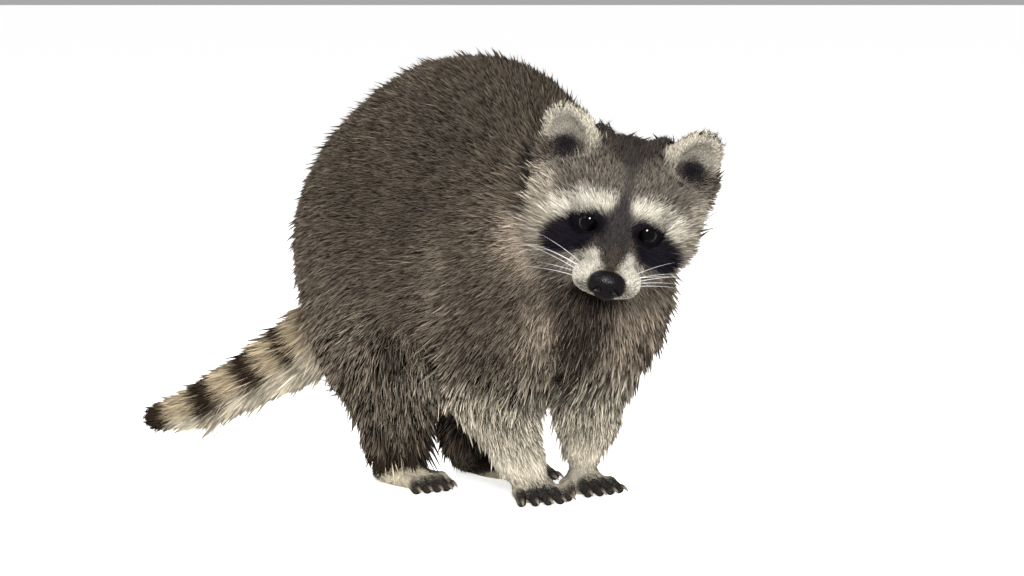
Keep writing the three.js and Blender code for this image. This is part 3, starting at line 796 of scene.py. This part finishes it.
def mark_ears(marks):
    """Ears with a pale rim, a darker hollow, a dark back, and painted shade in the ear's opening."""
    points = marks.points
    skull = field(points, SKULL, coat=1.0)
    for side, (blade, cup) in ((1, EAR_MASSES[:2]), (-1, EAR_MASSES[2:])):
        local = (points - blade.centre) @ blade.axes
        x, y, z = local.T
        from_middle = np.hypot(y / blade.radii[1], z / blade.radii[2])
        within = (points - cup.centre) @ cup.axes / cup.radii
        hollow = ease(1.25, 0.9, np.hypot(within[:, 1], within[:, 2]))
        on = ease(3.5, 1.5, distance_to(blade, points, 1)) * ease(-3, 1.5, skull)
        front = ease(-3, 0, x)
        marks.lay(EAR_RIM, on, calm=0.5)
        marks.hue = marks.hue * (1 - on * (0.25 - 0.4 * ease(-4, 18, z)))[:, None]
        marks.lay(EAR_INSIDE, on * front * hollow)
        marks.lay(CROWN, 0.7 * on * front * hollow * ease(0, -10, z))
        marks.lay(CROWN, on * (1 - front) * ease(0.95, 0.6, from_middle))
        # painted shade: a black spot stands for the dark depth of the ear's opening, for which the mesh
        # has no hole
        deep = out_of(HEAD, on_side(side, EAR_HOLE_SHADE_AT))
        marks.lay(BLACK, 0.95 * ease(12, 4, lengths(points - deep)))


def coat_colours(points):
    """The coat's colour at points, and how strongly its hairs are banded."""
    marks = Markings(points)
    for mark in (mark_body, mark_legs, mark_feet, mark_tail, mark_head, mark_ears):
        mark(marks)
    return marks.hue, marks.grizzle


# ---- Materials ----

MATT = {"Roughness": 0.8, "Specular IOR Level": 0.0}


def fill(tree, node, inputs):
    """Gives a node its inputs, each a value or another node's output."""
    for key, value in inputs.items():
        if isinstance(value, bpy.types.NodeSocket):
            tree.links.new(value, node.inputs[key])
        else:
            node.inputs[key].default_value = value


def add_node(tree, kind, inputs, **settings):
    node = tree.nodes.new(f"ShaderNode{kind}")
    for key, value in settings.items():
        setattr(node, key, value)
    fill(tree, node, inputs)
    return node


def new_material(name, inputs):
    """A material, its node tree, and its shader with these inputs."""
    material = bpy.data.materials.new(name)
    material.use_nodes = True
    tree = material.node_tree
    shader = tree.nodes["Principled BSDF"]
    fill(tree, shader, inputs)
    return material, tree, shader


def attribute(tree, name):
    """A colour that the mesh holds."""
    return add_node(tree, "Attribute", {}, attribute_name=name).outputs["Color"]


def maths(tree, operation, a, b):
    return add_node(tree, "Math", {0: a, 1: b}, operation=operation).outputs[0]


def ramp(tree, factor, stops):
    """A colour ramp from (place, grey) stops."""
    node = add_node(tree, "ValToRGB", {0: factor})
    elements = node.color_ramp.elements
    while len(elements) < len(stops):
        elements.new(0.5)
    for element, (at, grey) in zip(elements, stops):
        element.position = at
        element.color = (grey, grey, grey, 1)
    return node.outputs[0]


def scaled(tree, tint, by):
    """A colour times a number."""
    return add_node(tree, "VectorMath", {0: tint, "Scale": by}, operation="SCALE").outputs[0]


def textured(tree, kind, **inputs):
    """A texture laid out in the object's own space."""
    where = add_node(tree, "TexCoord", {}).outputs["Object"]
    return add_node(tree, kind, {"Vector": where, **inputs})


def noise(tree, scale, detail):
    return textured(tree, "TexNoise", Scale=scale, Detail=detail).outputs[0]


def bump(tree, height, strength, distance):
    inputs = {"Height": height, "Strength": strength, "Distance": distance}
    return add_node(tree, "Bump", inputs).outputs[0]


# Along a hair of the coat, how bright it is: dark wool made darker as painted shade deep in the coat, a
# pale band, then a dark tip.
BANDS = [(0.0, 0.1), (0.45, 0.3), (0.62, 0.9), (0.8, 1.9), (0.88, 1.4), (0.95, 0.5), (1.0, 0.3)]
# Plain hair darkens to its root too, partly as painted shade deep in the coat.
PLAIN = [(0.0, 0.4), (0.5, 0.85), (1.0, 1.1)]


def toned(tree, bright, tone, least, more):
    """A brightness times a share that grows from least with the tuft's own tone."""
    share = maths(tree, "ADD", maths(tree, "MULTIPLY", tone, more), least)
    return maths(tree, "MULTIPLY", bright, share)


def fur_material():
    """Reads each tuft's colour, and from strand: place along it, its tone (random, and partly painted
    shade), and its banding.
    """
    material, tree, shader = new_material("fur", MATT)
    along, tone, grizzle = add_node(tree, "SeparateColor", {0: attribute(tree, "strand")}).outputs
    shifted = maths(tree, "ADD", along, maths(tree, "MULTIPLY", tone, -0.24))
    shifted = maths(tree, "ADD", shifted, 0.12)
    plain = toned(tree, ramp(tree, along, PLAIN), tone, 0.75, 0.45)
    banded = toned(tree, ramp(tree, shifted, BANDS), tone, 0.25, 1.2)
    mix = add_node(tree, "Mix", {"Factor": grizzle, "A": plain, "B": banded})
    fill(tree, shader, {"Base Color": scaled(tree, attribute(tree, "hue"), mix.outputs[0])})
    return material


def mottled(tree, scale, detail, depth, least):
    """The mesh's own hue, made uneven by a fine noise."""
    shade = maths(tree, "MULTIPLY", noise(tree, scale, detail), depth)
    return scaled(tree, attribute(tree, "hue"), maths(tree, "ADD", shade, least))


def skin_material():
    """The skin under the hair, darker than the coat as the undercoat's wool and as painted shade deep in
    the fur, and finely creased.
    """
    material, tree, shader = new_material("skin", MATT)
    creases = bump(tree, noise(tree, 900, 5), 0.5, 0.0006)
    fill(tree, shader, {"Base Color": mottled(tree, 260, 3, 0.4, 0.15), "Normal": creases})
    return material


def eye_material():
    """The eye under its clear wet cornea."""
    wet = {"Coat Weight": 0.65, "Coat Roughness": 0.02, "Coat IOR": 1.33}
    material, tree, shader = new_material("eye", {**MATT, "Roughness": 0.3, **wet})
    fill(tree, shader, {"Base Color": attribute(tree, "hue")})
    return material


def leather_material():
    """The nose: black, moist and pebbled."""
    moist = {"Roughness": 0.26, "Specular IOR Level": 0.12}
    material, tree, shader = new_material("nose_leather", moist)
    pebbles = textured(tree, "TexVoronoi", Scale=900).outputs["Distance"]
    between = {"A": (*NOSE_PIT, 1), "B": (*NOSE_PEBBLE, 1), "Factor": pebbles}
    tint = add_node(tree, "Mix", between, data_type="RGBA").outputs["Result"]
    fill(tree, shader, {"Base Color": tint, "Normal": bump(tree, pebbles, 0.5, 0.0004)})
    return material


def horn_material():
    """Claws: dark horn, paler to the tip."""
    material, tree, shader = new_material("claw_horn", {"Roughness": 0.45, "Specular IOR Level": 0.2})
    ridges = bump(tree, noise(tree, 1400, 2), 0.3, 0.0002)
    fill(tree, shader, {"Base Color": mottled(tree, 700, 4, 0.6, 0.7), "Normal": ridges})
    return material


def whisker_material():
    material, tree, shader = new_material("whisker", {"Roughness": 0.35})
    tint = ramp(tree, noise(tree, 90, 2), [(0.3, 0.5), (0.7, 0.65)])
    fill(tree, shader, {"Base Color": tint})
    return material


# ---- Skin ----

SKIN_LOW = (-320, -150, -4)
SKIN_HIGH = (215, 130, 330)
SKIN_CELL = 2.2


def fine_parts(points):
    """Where the skin needs a finer mesh: the face's front, the ears and the feet."""
    local = into(HEAD, points)
    face = (local[:, 0] > -16) & (np.abs(local[:, 1]) < 40) & (local[:, 2] < 20)
    ears = (local[:, 2] > 18) & (np.abs(local[:, 1]) > 18) & (local[:, 0] > -62)
    return face | ears | (points[:, 2] < 17)


def finer(mesh, chosen):
    """Cuts the chosen vertices' faces in four."""
    work = bmesh.new()
    work.from_mesh(mesh)
    work.verts.ensure_lookup_table()
    marked = [face for face in work.faces if all(chosen[v.index] for v in face.verts)]
    edges = {edge for face in marked for edge in face.edges}
    bmesh.ops.subdivide_edges(work, edges=list(edges), cuts=1, use_grid_fill=True)
    work.to_mesh(mesh)
    work.free()


def read(items, key, width, kind=np.float32):
    """One property of all of a mesh's items, a row for each."""
    found = np.empty(len(items) * width, kind)
    items.foreach_get(key, found)
    return found.reshape(-1, width)


def coordinates(mesh):
    """The mesh's vertices in the animal's frame."""
    return read(mesh.vertices, "co", 3).astype(float) / MM - ROW_SHIFT


def skin_field(points):
    return field(points, SKIN_MASSES)


def make_skin(material):
    points, quads = net(skin_field, SKIN_LOW, SKIN_HIGH, SKIN_CELL)
    mesh = mesh_of("skin", points, quads)
    finer(mesh, fine_parts(points))
    points = settle(coordinates(mesh), skin_field)
    points[:, 2] = np.maximum(points[:, 2], 0)
    set_points(mesh, points)
    mesh.polygons.foreach_set("use_smooth", np.ones(len(mesh.polygons), bool))
    skin = add_piece("skin", mesh, material)
    unwrap(skin)
    return skin, points


def paint_skin(skin, points):
    """The coat's own markings, read a little outside the skin, and brighter under white hair."""
    hue, grizzle = coat_colours(points + 3 * unit(gradient(points, coat_field)))
    pale = (1 - grizzle) * ease(0.05, 0.3, hue.mean(1))
    paint(skin.data, "hue", hue * (1 + pale)[:, None])


def unwrap(piece):
    """Gives a piece the map that its tufts share."""
    piece.data.uv_layers.new(name="OFBake")
    bpy.ops.object.select_all(action="DESELECT")
    piece.select_set(True)
    bpy.context.view_layer.objects.active = piece
    bpy.ops.object.mode_set(mode="EDIT")
    bpy.ops.mesh.select_all(action="SELECT")
    bpy.ops.uv.smart_project(angle_limit=1.15, island_margin=0.002, scale_to_bounds=True)
    bpy.ops.object.mode_set(mode="OBJECT")


# ---- Coat ----

# Tufts in each piece of the coat. A tuft has 4 triangles.
TUFTS = {
    "fur_face": 47000,
    "fur_head": 46000,
    "fur_neck_chest": 38000,
    "fur_trunk_right_front": 31000,
    "fur_trunk_right_back": 34000,
    "fur_trunk_left_front": 28000,
    "fur_trunk_left_back": 31000,
    "fur_legs_fore": 38000,
    "fur_legs_hind": 40000,
    "fur_tail": 20000,
    "fur_feet": 17000,
}
REGIONS = list(TUFTS)
DEEPEST = 24  # the coat counts as no deeper than this
PATCH = 0.003  # a tuft's patch on the map
CLUMP = 5  # tufts to a clump
PULL = (0.05, 0.28)  # the share by which a tip is drawn to its clump's leader
RING = 0.42  # how far along a tuft it is widest
ARCH = 0.16  # how far it is bowed out there, as a share of its rise
RUN = (0.8, 1.3)  # how far it runs along the skin, as a share of its rise
WIDTH = (0.42, 0.011)  # its width in millimetres, and what each millimetre of its run adds
LIE_SCATTER = 0.22  # how unevenly the hair lies
LIE_BLEND = 7  # how gradually one mass's lie gives way to the next, in millimetres
ROOT_DEPTH = 0.4  # a tuft starts this far under the skin
TIP_LEVEL = 0.4  # no tip hangs lower than this above the floor
STRAY_SHARE = 0.06  # of tufts, the ones that stand out beyond the rest
STRAY_DEPTH = 5  # the coat has no strays where it is shallower
FUZZ_SHARE = 0.4  # of an ear's tufts, the ones that are longer


def region_at(points):
    """For each point of the skin, its piece's place in REGIONS."""
    x, y, z = points.T
    local = into(HEAD, points)
    right, front = y < 0, x > -45
    leg = (z < 112) & (np.abs(y) > 12)
    between_legs = (x > 40) & (z > 60) & (z < 130) & (np.abs(y) < 40)
    head = (local[:, 0] > -78) & (lengths(local - (-30, 0, 5)) < 78) & (x > 60)
    region = np.empty(len(points), int)
    for name, where in (
        ("fur_trunk_right_front", right & front),
        ("fur_trunk_right_back", right & ~front),
        ("fur_trunk_left_front", ~right & front),
        ("fur_trunk_left_back", ~right & ~front),
        ("fur_neck_chest", (x > 62) | between_legs),
        ("fur_legs_fore", leg & (x > -18)),
        ("fur_legs_hind", leg & (x <= -18)),
        ("fur_feet", z < 20),
        ("fur_tail", (x < -182) & (z >= 20) | (x < -150) & (z < 20)),
        ("fur_head", head),
        ("fur_face", head & (local[:, 0] > -34) & (local[:, 2] > -42)),
    ):
        region[where] = REGIONS.index(name)
    return region


def bare(points):
    """Where no hair grows: in the eyes' openings, beneath the nose's leather, and under the feet."""
    local = into(HEAD, points)
    across = np.abs(local[:, 1] - EYE_SHIFT) - EYE_SPACING / 2 - 0.8
    eye = (np.hypot(across / 7.8, (local[:, 2] - EYE_RISE) / 6.8) < 1) & (local[:, 0] > EYE_INSET)
    nose = lengths((local - NOSE_AT) / (8.5, 12.8, 9.8)) < 1
    return eye | nose | (points[:, 2] < 1.5)


def shortness(points):
    """How much of the coat's depth tufts fill: less near the eyes and nose and low on the legs."""
    local = into(HEAD, points)
    mirrored = np.stack([local[:, 0], np.abs(local[:, 1] - EYE_SHIFT), local[:, 2]], 1)
    eye = lengths(mirrored - (EYE_INSET + 5, EYE_SPACING / 2, EYE_RISE))
    nose = lengths(local - NOSE_AT)
    low = ease(34, 18, points[:, 2]) * ease(-155, -145, points[:, 0])
    on_face = np.minimum(ease(5, 20, eye) * 0.6 + 0.4, ease(8, 24, nose) * 0.4 + 0.6)
    return on_face * (1 - 0.4 * low)


def lie_at(points):
    """The way that hair lies at points: each mass's own way, blended by nearness."""
    masses = [mass for mass in COAT_MASSES if not mass.dent]
    gaps = np.stack([distance_to(mass, points, 0) for mass in masses])
    weights = np.exp(-(gaps - gaps.min(0)) / LIE_BLEND)
    from_nose = unit(points - out_of(HEAD, (NOSE_AT[0] + 6, 0, NOSE_AT[2] - 4)))
    way = np.zeros((len(points), 3))
    for mass, weight in zip(masses, weights):
        lie = from_nose if mass.lie is None else mass.lie
        if isinstance(mass.lie, str):
            lie = unit(points - mass.centre + mass.axes @ (0, 0, 0.9 * mass.radii[2]))
        way += weight[:, None] * lie
    return unit(way)


def coat_field(points):
    return field(points, COAT_MASSES, coat=1.0)


def chosen_roots(mesh, points, random):
    """Random points of the skin: place, normal, place on the map and piece number."""
    mesh.calc_loop_triangles()
    corners = read(mesh.loop_triangles, "vertices", 3, np.int32)
    loops = read(mesh.loop_triangles, "loops", 3, np.int32)
    uv = read(mesh.uv_layers["OFBake"].uv, "vector", 2)
    normals = read(mesh.vertex_normals, "vector", 3)
    triangles = points[corners]
    middles = triangles.mean(1)
    sides = np.cross(triangles[:, 1] - triangles[:, 0], triangles[:, 2] - triangles[:, 0])
    area = lengths(sides) / 2 * ~bare(middles)
    region = region_at(middles)
    share = 1
    picked = []
    for name, tufts in TUFTS.items():
        weight = area * (region == REGIONS.index(name))
        picked.append(random.choice(len(corners), int(tufts * share), p=weight / weight.sum()))
    picked = np.concatenate(picked)
    a, b = random.random((2, len(picked)))
    flip = a + b > 1
    a, b = np.where(flip, 1 - a, a), np.where(flip, 1 - b, b)
    mix = np.stack([1 - a - b, a, b], 1)[:, :, None]
    return SimpleNamespace(
        at=(triangles[picked] * mix).sum(1),
        normal=unit((normals[corners[picked]] * mix).sum(1)),
        uv=(uv[loops[picked]] * mix).sum(1),
        region=region[picked],
    )


def leaders(places, random):
    """For each tuft, the leading tuft of its clump."""
    leading = random.choice(len(places), len(places) // CLUMP, replace=False)
    tree = kdtree.KDTree(len(leading))
    for i, leader in enumerate(leading):
        tree.insert(places[leader], i)
    tree.balance()
    return leading[[tree.find(place)[1] for place in places]]


def on_ear(points):
    """1 on the ears, 0 elsewhere."""
    gaps = [distance_to(blade, points, 1) for blade in (EAR_MASSES[0], EAR_MASSES[2])]
    return ease(1, -1, np.minimum(*gaps)) * ease(-1, 3, field(points, SKULL, coat=1.0))


def set_heights(roots, random):
    """Adds to the roots the coat's depth, each tuft's rise off the skin, and what is stray or shaggy."""
    count = len(roots.at)
    roots.depth = np.clip(-coat_field(roots.at), 0.8, DEEPEST)
    roots.height = random.uniform(0.5, 1.05, count)
    rise = roots.depth * roots.height * shortness(roots.at)
    roots.stray = (random.random(count) < STRAY_SHARE) & (roots.depth > STRAY_DEPTH)
    rise = rise * np.where(roots.stray, random.uniform(1.1, 1.6, count), 1)
    fuzz = on_ear(roots.at) * (random.random(count) < FUZZ_SHARE)
    roots.rise = rise * (1 + fuzz * random.uniform(0.3, 1.1, count))
    roots.shaggy = ease(190, 90, roots.at[:, 2]) * (roots.region != REGIONS.index("fur_face"))


def set_shapes(roots, random):
    """Adds to the roots each tuft's middle, tip, width and the leader of its clump."""
    count = len(roots.at)
    lie = lie_at(roots.at) + random.normal(0, LIE_SCATTER, (count, 3))
    lie = unit(lie - (lie * roots.normal).sum(1, keepdims=True) * roots.normal)
    flat = np.maximum(roots.shaggy, ease(10, 6, roots.depth))
    run = roots.rise * (random.uniform(*RUN, count) + 0.5 * flat) + 1
    tips = roots.at + lie * run[:, None] + roots.normal * roots.rise[:, None]
    level = coat_field(tips)
    most = 0.5 * roots.depth
    lift = np.clip(roots.rise - roots.depth - level, -most, most)
    tips = tips + roots.normal * lift[:, None]
    roots.leader = leaders(roots.at, random)
    pull = random.uniform(*PULL, count) + 0.1 * roots.shaggy
    tips = tips + (tips[roots.leader] - tips) * pull[:, None]
    tips[:, 2] = np.maximum(tips[:, 2], TIP_LEVEL)
    middle = roots.at + (tips - roots.at) * RING + roots.normal * (ARCH * roots.rise)[:, None]
    middle[:, 2] = np.maximum(middle[:, 2], TIP_LEVEL + 0.5)
    roots.tips, roots.middle = tips, middle
    thickness = random.uniform(0.7, 1.3, count) * np.where(roots.stray, 0.6, 1)
    roots.width = (WIDTH[0] + WIDTH[1] * run) * thickness


def set_colours(roots, random):
    """Adds to the roots each tuft's colour, banding and tone, and how far its shading is tilted. The
    tone is partly random and partly painted shade.

    A tuft takes its colour from the marking where it is seen, most of the way to its tip. Low on the
    legs that is near its root, so that the cuffs and the pale feet keep their edges.
    """
    count = len(roots.at)
    on_tail = ease(-165, -175, roots.at[:, 0])
    shown_at = 0.75 - 0.55 * ease(70, 50, roots.at[:, 2]) * (1 - on_tail)
    seen = roots.at + (roots.tips - roots.at) * shown_at[:, None]
    face = roots.region == REGIONS.index("fur_face")
    ragged = np.where(face, 0.8, 0.45 * roots.depth) * (1 - 0.6 * on_tail)
    seen = seen + random.normal(0, 1, (count, 3)) * ragged[:, None]
    roots.hue, roots.grizzle = coat_colours(seen)
    own = random.random(count)
    led = own[roots.leader]
    # tone: the tuft's own random share and its clump's, plus painted shade that makes tufts which rise
    # less darker, as if shaded by the coat above
    roots.tone = ease(0.15, 0.85, 0.5 * own + 0.15 * led + 0.35 * ease(0.5, 1.05, roots.height))
    streak = ease(0.2, 0.9, 0.85 * own + 0.15 * led)
    mixed = roots.shaggy * roots.grizzle**1.5 * (2.1 * streak - 1.2)
    roots.hue = roots.hue * (1 + mixed + 0.5 * roots.stray)[:, None]
    roots.tilt = random.normal(0, 0.3, (count, 3))


def tuft_mesh(name, roots, chosen):
    """The chosen tufts as closed kites: a root, a point to each side, and a tip."""
    at, middle, tips = roots.at[chosen], roots.middle[chosen], roots.tips[chosen]
    normal = roots.normal[chosen]
    width = roots.width[chosen][:, None]
    side = unit(np.cross(tips - at, normal))
    half = side * width / 2
    points = np.stack([at - normal * ROOT_DEPTH, middle - half, middle + half, tips], 1)
    count = len(at)
    faces = np.array([(0, 2, 1), (3, 1, 2), (0, 1, 3), (0, 3, 2)])
    faces = (np.arange(count)[:, None, None] * 4 + faces).reshape(-1, 3)
    mesh = mesh_of(name, points.reshape(-1, 3), faces)
    shade = unit(normal + roots.tilt[chosen])
    soft = np.stack([shade, shade - 0.7 * side, shade + 0.7 * side, shade], 1)
    mesh.normals_split_custom_set_from_vertices(unit(soft).reshape(-1, 3))
    along = np.tile([0, RING, RING, 1.0], (count, 1))
    tone = np.repeat(roots.tone[chosen][:, None], 4, 1)
    grizzle = np.repeat(roots.grizzle[chosen][:, None], 4, 1)
    strand = np.stack([along, tone, grizzle], 2)
    paint(mesh, "strand", strand.reshape(-1, 3))
    paint(mesh, "hue", np.repeat(roots.hue[chosen], 4, 0))
    patch = np.array([(0, -0.5), (-0.5, -0.05), (0.5, -0.05), (0, 0.5)]) * PATCH
    uv = roots.uv[chosen][:, None] + patch
    layer = mesh.uv_layers.new(name="OFBake")
    layer.uv.foreach_set("vector", uv.reshape(-1, 2)[faces.ravel()].astype(np.float32).ravel())
    return mesh


def make_coat(skin, points, material):
    random = np.random.default_rng(SEED)
    roots = chosen_roots(skin.data, points, random)
    set_heights(roots, random)
    set_shapes(roots, random)
    set_colours(roots, random)
    for number, name in enumerate(REGIONS):
        chosen = np.flatnonzero(roots.region == number)
        add_piece(name, tuft_mesh(name, roots, chosen), material)


# ---- Eyes, nose, claws and whiskers ----

GAZE = (1, -0.1, 0.12)
PUPIL_ANGLE = 26
IRIS_ANGLE = 46
CORNEA_RISE = 0.1
EYE_GAP = 0.15  # between the eyeball and the surface of its solid
EYE_RINGS = 40
EYE_SIDES = 48


def make_eye(side, material):
    """An eyeball with a raised cornea, painted by the angle from where it looks."""
    tilts = np.linspace(0.001, math.pi - 0.001, EYE_RINGS)
    turns = np.linspace(0, 2 * math.pi, EYE_SIDES, endpoint=False)
    tilt, turn = [grid.ravel() for grid in np.meshgrid(tilts, turns, indexing="ij")]
    around = np.stack([np.cos(tilt), np.sin(tilt) * np.cos(turn), np.sin(tilt) * np.sin(turn)], 1)
    angle = np.degrees(tilt)
    radius = EYE_RADIUS - EYE_GAP + CORNEA_RISE * ease(IRIS_ANGLE + 6, 0, angle)
    ahead = unit(on_side(side, GAZE))
    across = unit(np.cross((0, 0, 1), ahead))
    axes = np.stack([ahead, across, np.cross(ahead, across)])
    points = out_of(HEAD, (around * radius[:, None]) @ axes + eye_at(side))
    quads = ring_quads(EYE_RINGS, EYE_SIDES)[:, [0, 3, 2, 1]]
    name = "eyeball_left" if side > 0 else "eyeball_right"
    mesh = mesh_of(name, points, quads)
    rays = 0.8 + 0.4 * np.sin(turn * 19) * np.sin(turn * 7)
    hue = np.tile(EYE_WHITE, (len(points), 1))
    hue = over(hue, EYE_RIM, ease(IRIS_ANGLE + 7, IRIS_ANGLE, angle))
    hue = over(hue, IRIS * rays[:, None], ease(IRIS_ANGLE - 2, IRIS_ANGLE - 8, angle))
    hue = over(hue, PUPIL, ease(PUPIL_ANGLE + 3, PUPIL_ANGLE, angle))
    paint(mesh, "hue", hue)
    piece = add_piece(name, mesh, material)
    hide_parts("eye_left" if side > 0 else "eye_right")


NOSE_FRAME = place(HEAD.axes, out_of(HEAD, NOSE_AT))
NOSE_MASSES = [
    ball((0, 0, 1.5), (7.6, 12.3, 7.2), 0, 4, NOSE_FRAME),
    ball((-0.6, 0, -6.3), (7, 8.5, 6.6), 0, 5, NOSE_FRAME),
    *both(lambda s: ball((1.5, s * 8.6, -2.5), (5.2, 3.8, 4.2), 0, 2, NOSE_FRAME)),
    *both(
        lambda s: ball(
            (7.5, s * 5.6, -2.2), (4, 2.5, 2.3), 0, 1.2, NOSE_FRAME, (s * 25, 0, s * 20), dent=True
        )
    ),
    *both(
        lambda s: limb((6.5, s * 7, -3.2), (2, s * 12.2, -3.6), 1.2, 0.7, 0, 1, NOSE_FRAME, dent=True)
    ),
    limb((8.6, 0, -1), (6.5, 0, -10), 0.5, 0.8, 0, 1, NOSE_FRAME, dent=True),
]


def nose_field(points):
    return field(points, NOSE_MASSES)


def make_nose(material):
    middle = NOSE_FRAME.origin
    points, quads = net(nose_field, middle - 16, middle + 16, 0.55)
    points = settle(points, nose_field, 2, 0.4)
    piece = add_piece("nose_pad", mesh_of("nose_pad", points, quads), material)
    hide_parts("nose")


CLAW_RINGS = 9
CLAW_SIDES = 10


def claw(foot, toe):
    """One claw: a tapering tube that curves down from its toe."""
    _, knuckle, tip = np.array(toe_path(foot, toe))
    ahead = unit((tip - knuckle) * (1, 1, 0))
    share = np.linspace(-0.15, 1, CLAW_RINGS)[:, None]
    root = tip + ahead * foot.form.toe_radius * 0.45
    root[2] = 5.6
    path = root + ahead * share * CLAW_LENGTH * 0.84
    path[:, 2] -= 3.6 * np.abs(share[:, 0]) ** 1.7
    radii = CLAW_RADIUS * (1 - 0.85 * np.clip(share[:, 0], 0, 1) ** 1.4)
    radii[0] = radii[-1] = 0.02
    return tube(out_of(foot_frame(foot), path), radii, CLAW_SIDES), share


def make_claws(material):
    for leg, foot in FEET.items():
        made = [claw(foot, toe) for toe in range(TOES)]
        points, quads = joined([part for part, _ in made])
        share = np.concatenate([np.repeat(shares[:, 0], CLAW_SIDES) for _, shares in made])
        mesh = mesh_of(f"claws_{leg}", points, quads)
        hue = over(np.tile(CLAW_ROOT, (len(points), 1)), CLAW_TIP, ease(0.1, 0.8, share))
        paint(mesh, "hue", hue)
        piece = add_piece(f"claws_{leg}", mesh, material)
        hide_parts(*[f"claw_{leg}_{toe + 1}" for toe in range(TOES)])


WHISKERS = 6
WHISKER_LENGTH = 52
WHISKER_RADIUS = 0.2
WHISKER_DROOP = np.array([-0.45, 0, -0.55])


def make_whiskers(material):
    random = np.random.default_rng(SEED + 1)
    parts = []
    for side in (1, -1):
        for i in range(WHISKERS):
            row, column = divmod(i, 3)
            level = -20 - 4 * row + random.normal(0, 0.6)
            root = np.array([34 - 6 * column, side * (15.5 + 1.2 * column), level])
            way = unit((-0.35 - 0.2 * column, side, 0.28 - 0.2 * row + random.normal(0, 0.08)))
            length = WHISKER_LENGTH * random.uniform(0.65, 1.0)
            share = np.linspace(0, 1, 12)[:, None]
            path = root + length * (share * way + 0.5 * share**2 * WHISKER_DROOP)
            radii = WHISKER_RADIUS * (1 - 0.85 * share[:, 0])
            radii[0] = radii[-1] = 0.03
            parts.append(tube(out_of(HEAD, path), radii, 5))
    points, quads = joined(parts)
    add_piece("whiskers", mesh_of("whiskers", points, quads), material)


# ---- Floor, light and camera ----

CAMERA_AZIMUTH = 46
CAMERA_HEIGHT_ANGLE = 6.5
CAMERA_DISTANCE = 2.2  # metres
CAMERA_TARGET = (0, 0, 150)  # millimetres, in the animal's frame
LENS = 105.96
SENSOR = 36
LAMP_TARGET_HEIGHT = 0.15  # metres
FLOOR_HALF = 40  # metres
FLOOR_GLOW = 0.6
WORLD_STRENGTH = 0.4
# Each lamp: azimuth and elevation in degrees, distance and size in metres, and power in watts.
LAMPS = {
    "key": (51, 13, 2.1, 0.45, 58),
    "top": (54, 40, 2.3, 0.9, 24),
    "fill": (0, 30, 2.6, 1.6, 18),
    "rim": (250, 50, 2.5, 1.2, 50),
}


def aimed(name, data, azimuth, elevation, distance, target):
    """A new object that looks at the target from that azimuth and elevation, in degrees."""
    a, e = math.radians(azimuth), math.radians(elevation)
    back = Vector((math.sin(a) * math.cos(e), -math.cos(a) * math.cos(e), math.sin(e)))
    made = new_object(name, data)
    made.location = back * distance + Vector(target)
    made.rotation_euler = back.to_track_quat("Z", "Y").to_euler()
    return made


def make_camera():
    data = bpy.data.cameras.new("camera")
    data.lens = LENS
    data.sensor_width = SENSOR
    data.clip_end = 20
    view = (CAMERA_AZIMUTH, CAMERA_HEIGHT_ANGLE, CAMERA_DISTANCE)
    bpy.context.scene.camera = aimed("camera", data, *view, to_row(CAMERA_TARGET))


def make_lamp(name, azimuth, elevation, distance, size, power):
    data = bpy.data.lights.new(name, "AREA")
    data.shape = "DISK"
    data.size = size
    data.energy = power
    aimed(name, data, azimuth, elevation, distance, (0, 0, LAMP_TARGET_HEIGHT))


def make_floor():
    """A white floor that glows a little, as a studio's lit ground does, and isn't seen in the eyes."""
    mesh = bpy.data.meshes.new("floor")
    corners = [(x * FLOOR_HALF, y * FLOOR_HALF, 0) for x, y in ((-1, -1), (1, -1), (1, 1), (-1, 1))]
    mesh.from_pydata(corners, [], [(0, 1, 2, 3)])
    floor = new_object("floor", mesh)
    white = {"Base Color": (0.97, 0.97, 0.97, 1), "Roughness": 0.6, "Specular IOR Level": 0.2}
    glow = {"Emission Color": (1, 1, 1, 1), "Emission Strength": FLOOR_GLOW}
    mesh.materials.append(new_material("floor", {**white, **glow})[0])
    floor.visible_glossy = False


def make_studio():
    make_floor()
    world = bpy.data.worlds.new("studio")
    world.use_nodes = True
    sky = {"Color": (1, 1, 1, 1), "Strength": WORLD_STRENGTH}
    fill(world.node_tree, world.node_tree.nodes["Background"], sky)
    bpy.context.scene.world = world
    for name, lamp in LAMPS.items():
        make_lamp(name, *lamp)
    bpy.context.scene.view_settings.view_transform = "Standard"


# ---- The model ----

SEPARATE = ("eye_", "nose", "claw_")


def main():
    fur = fur_material()
    skin, points = make_skin(skin_material())
    flesh = [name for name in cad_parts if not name.startswith(SEPARATE)]
    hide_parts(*flesh)
    paint_skin(skin, points)
    make_coat(skin, points, fur)
    eye = eye_material()
    for side in (1, -1):
        make_eye(side, eye)
    make_nose(leather_material())
    make_claws(horn_material())
    make_whiskers(whisker_material())
    make_camera()
    make_studio()


main()
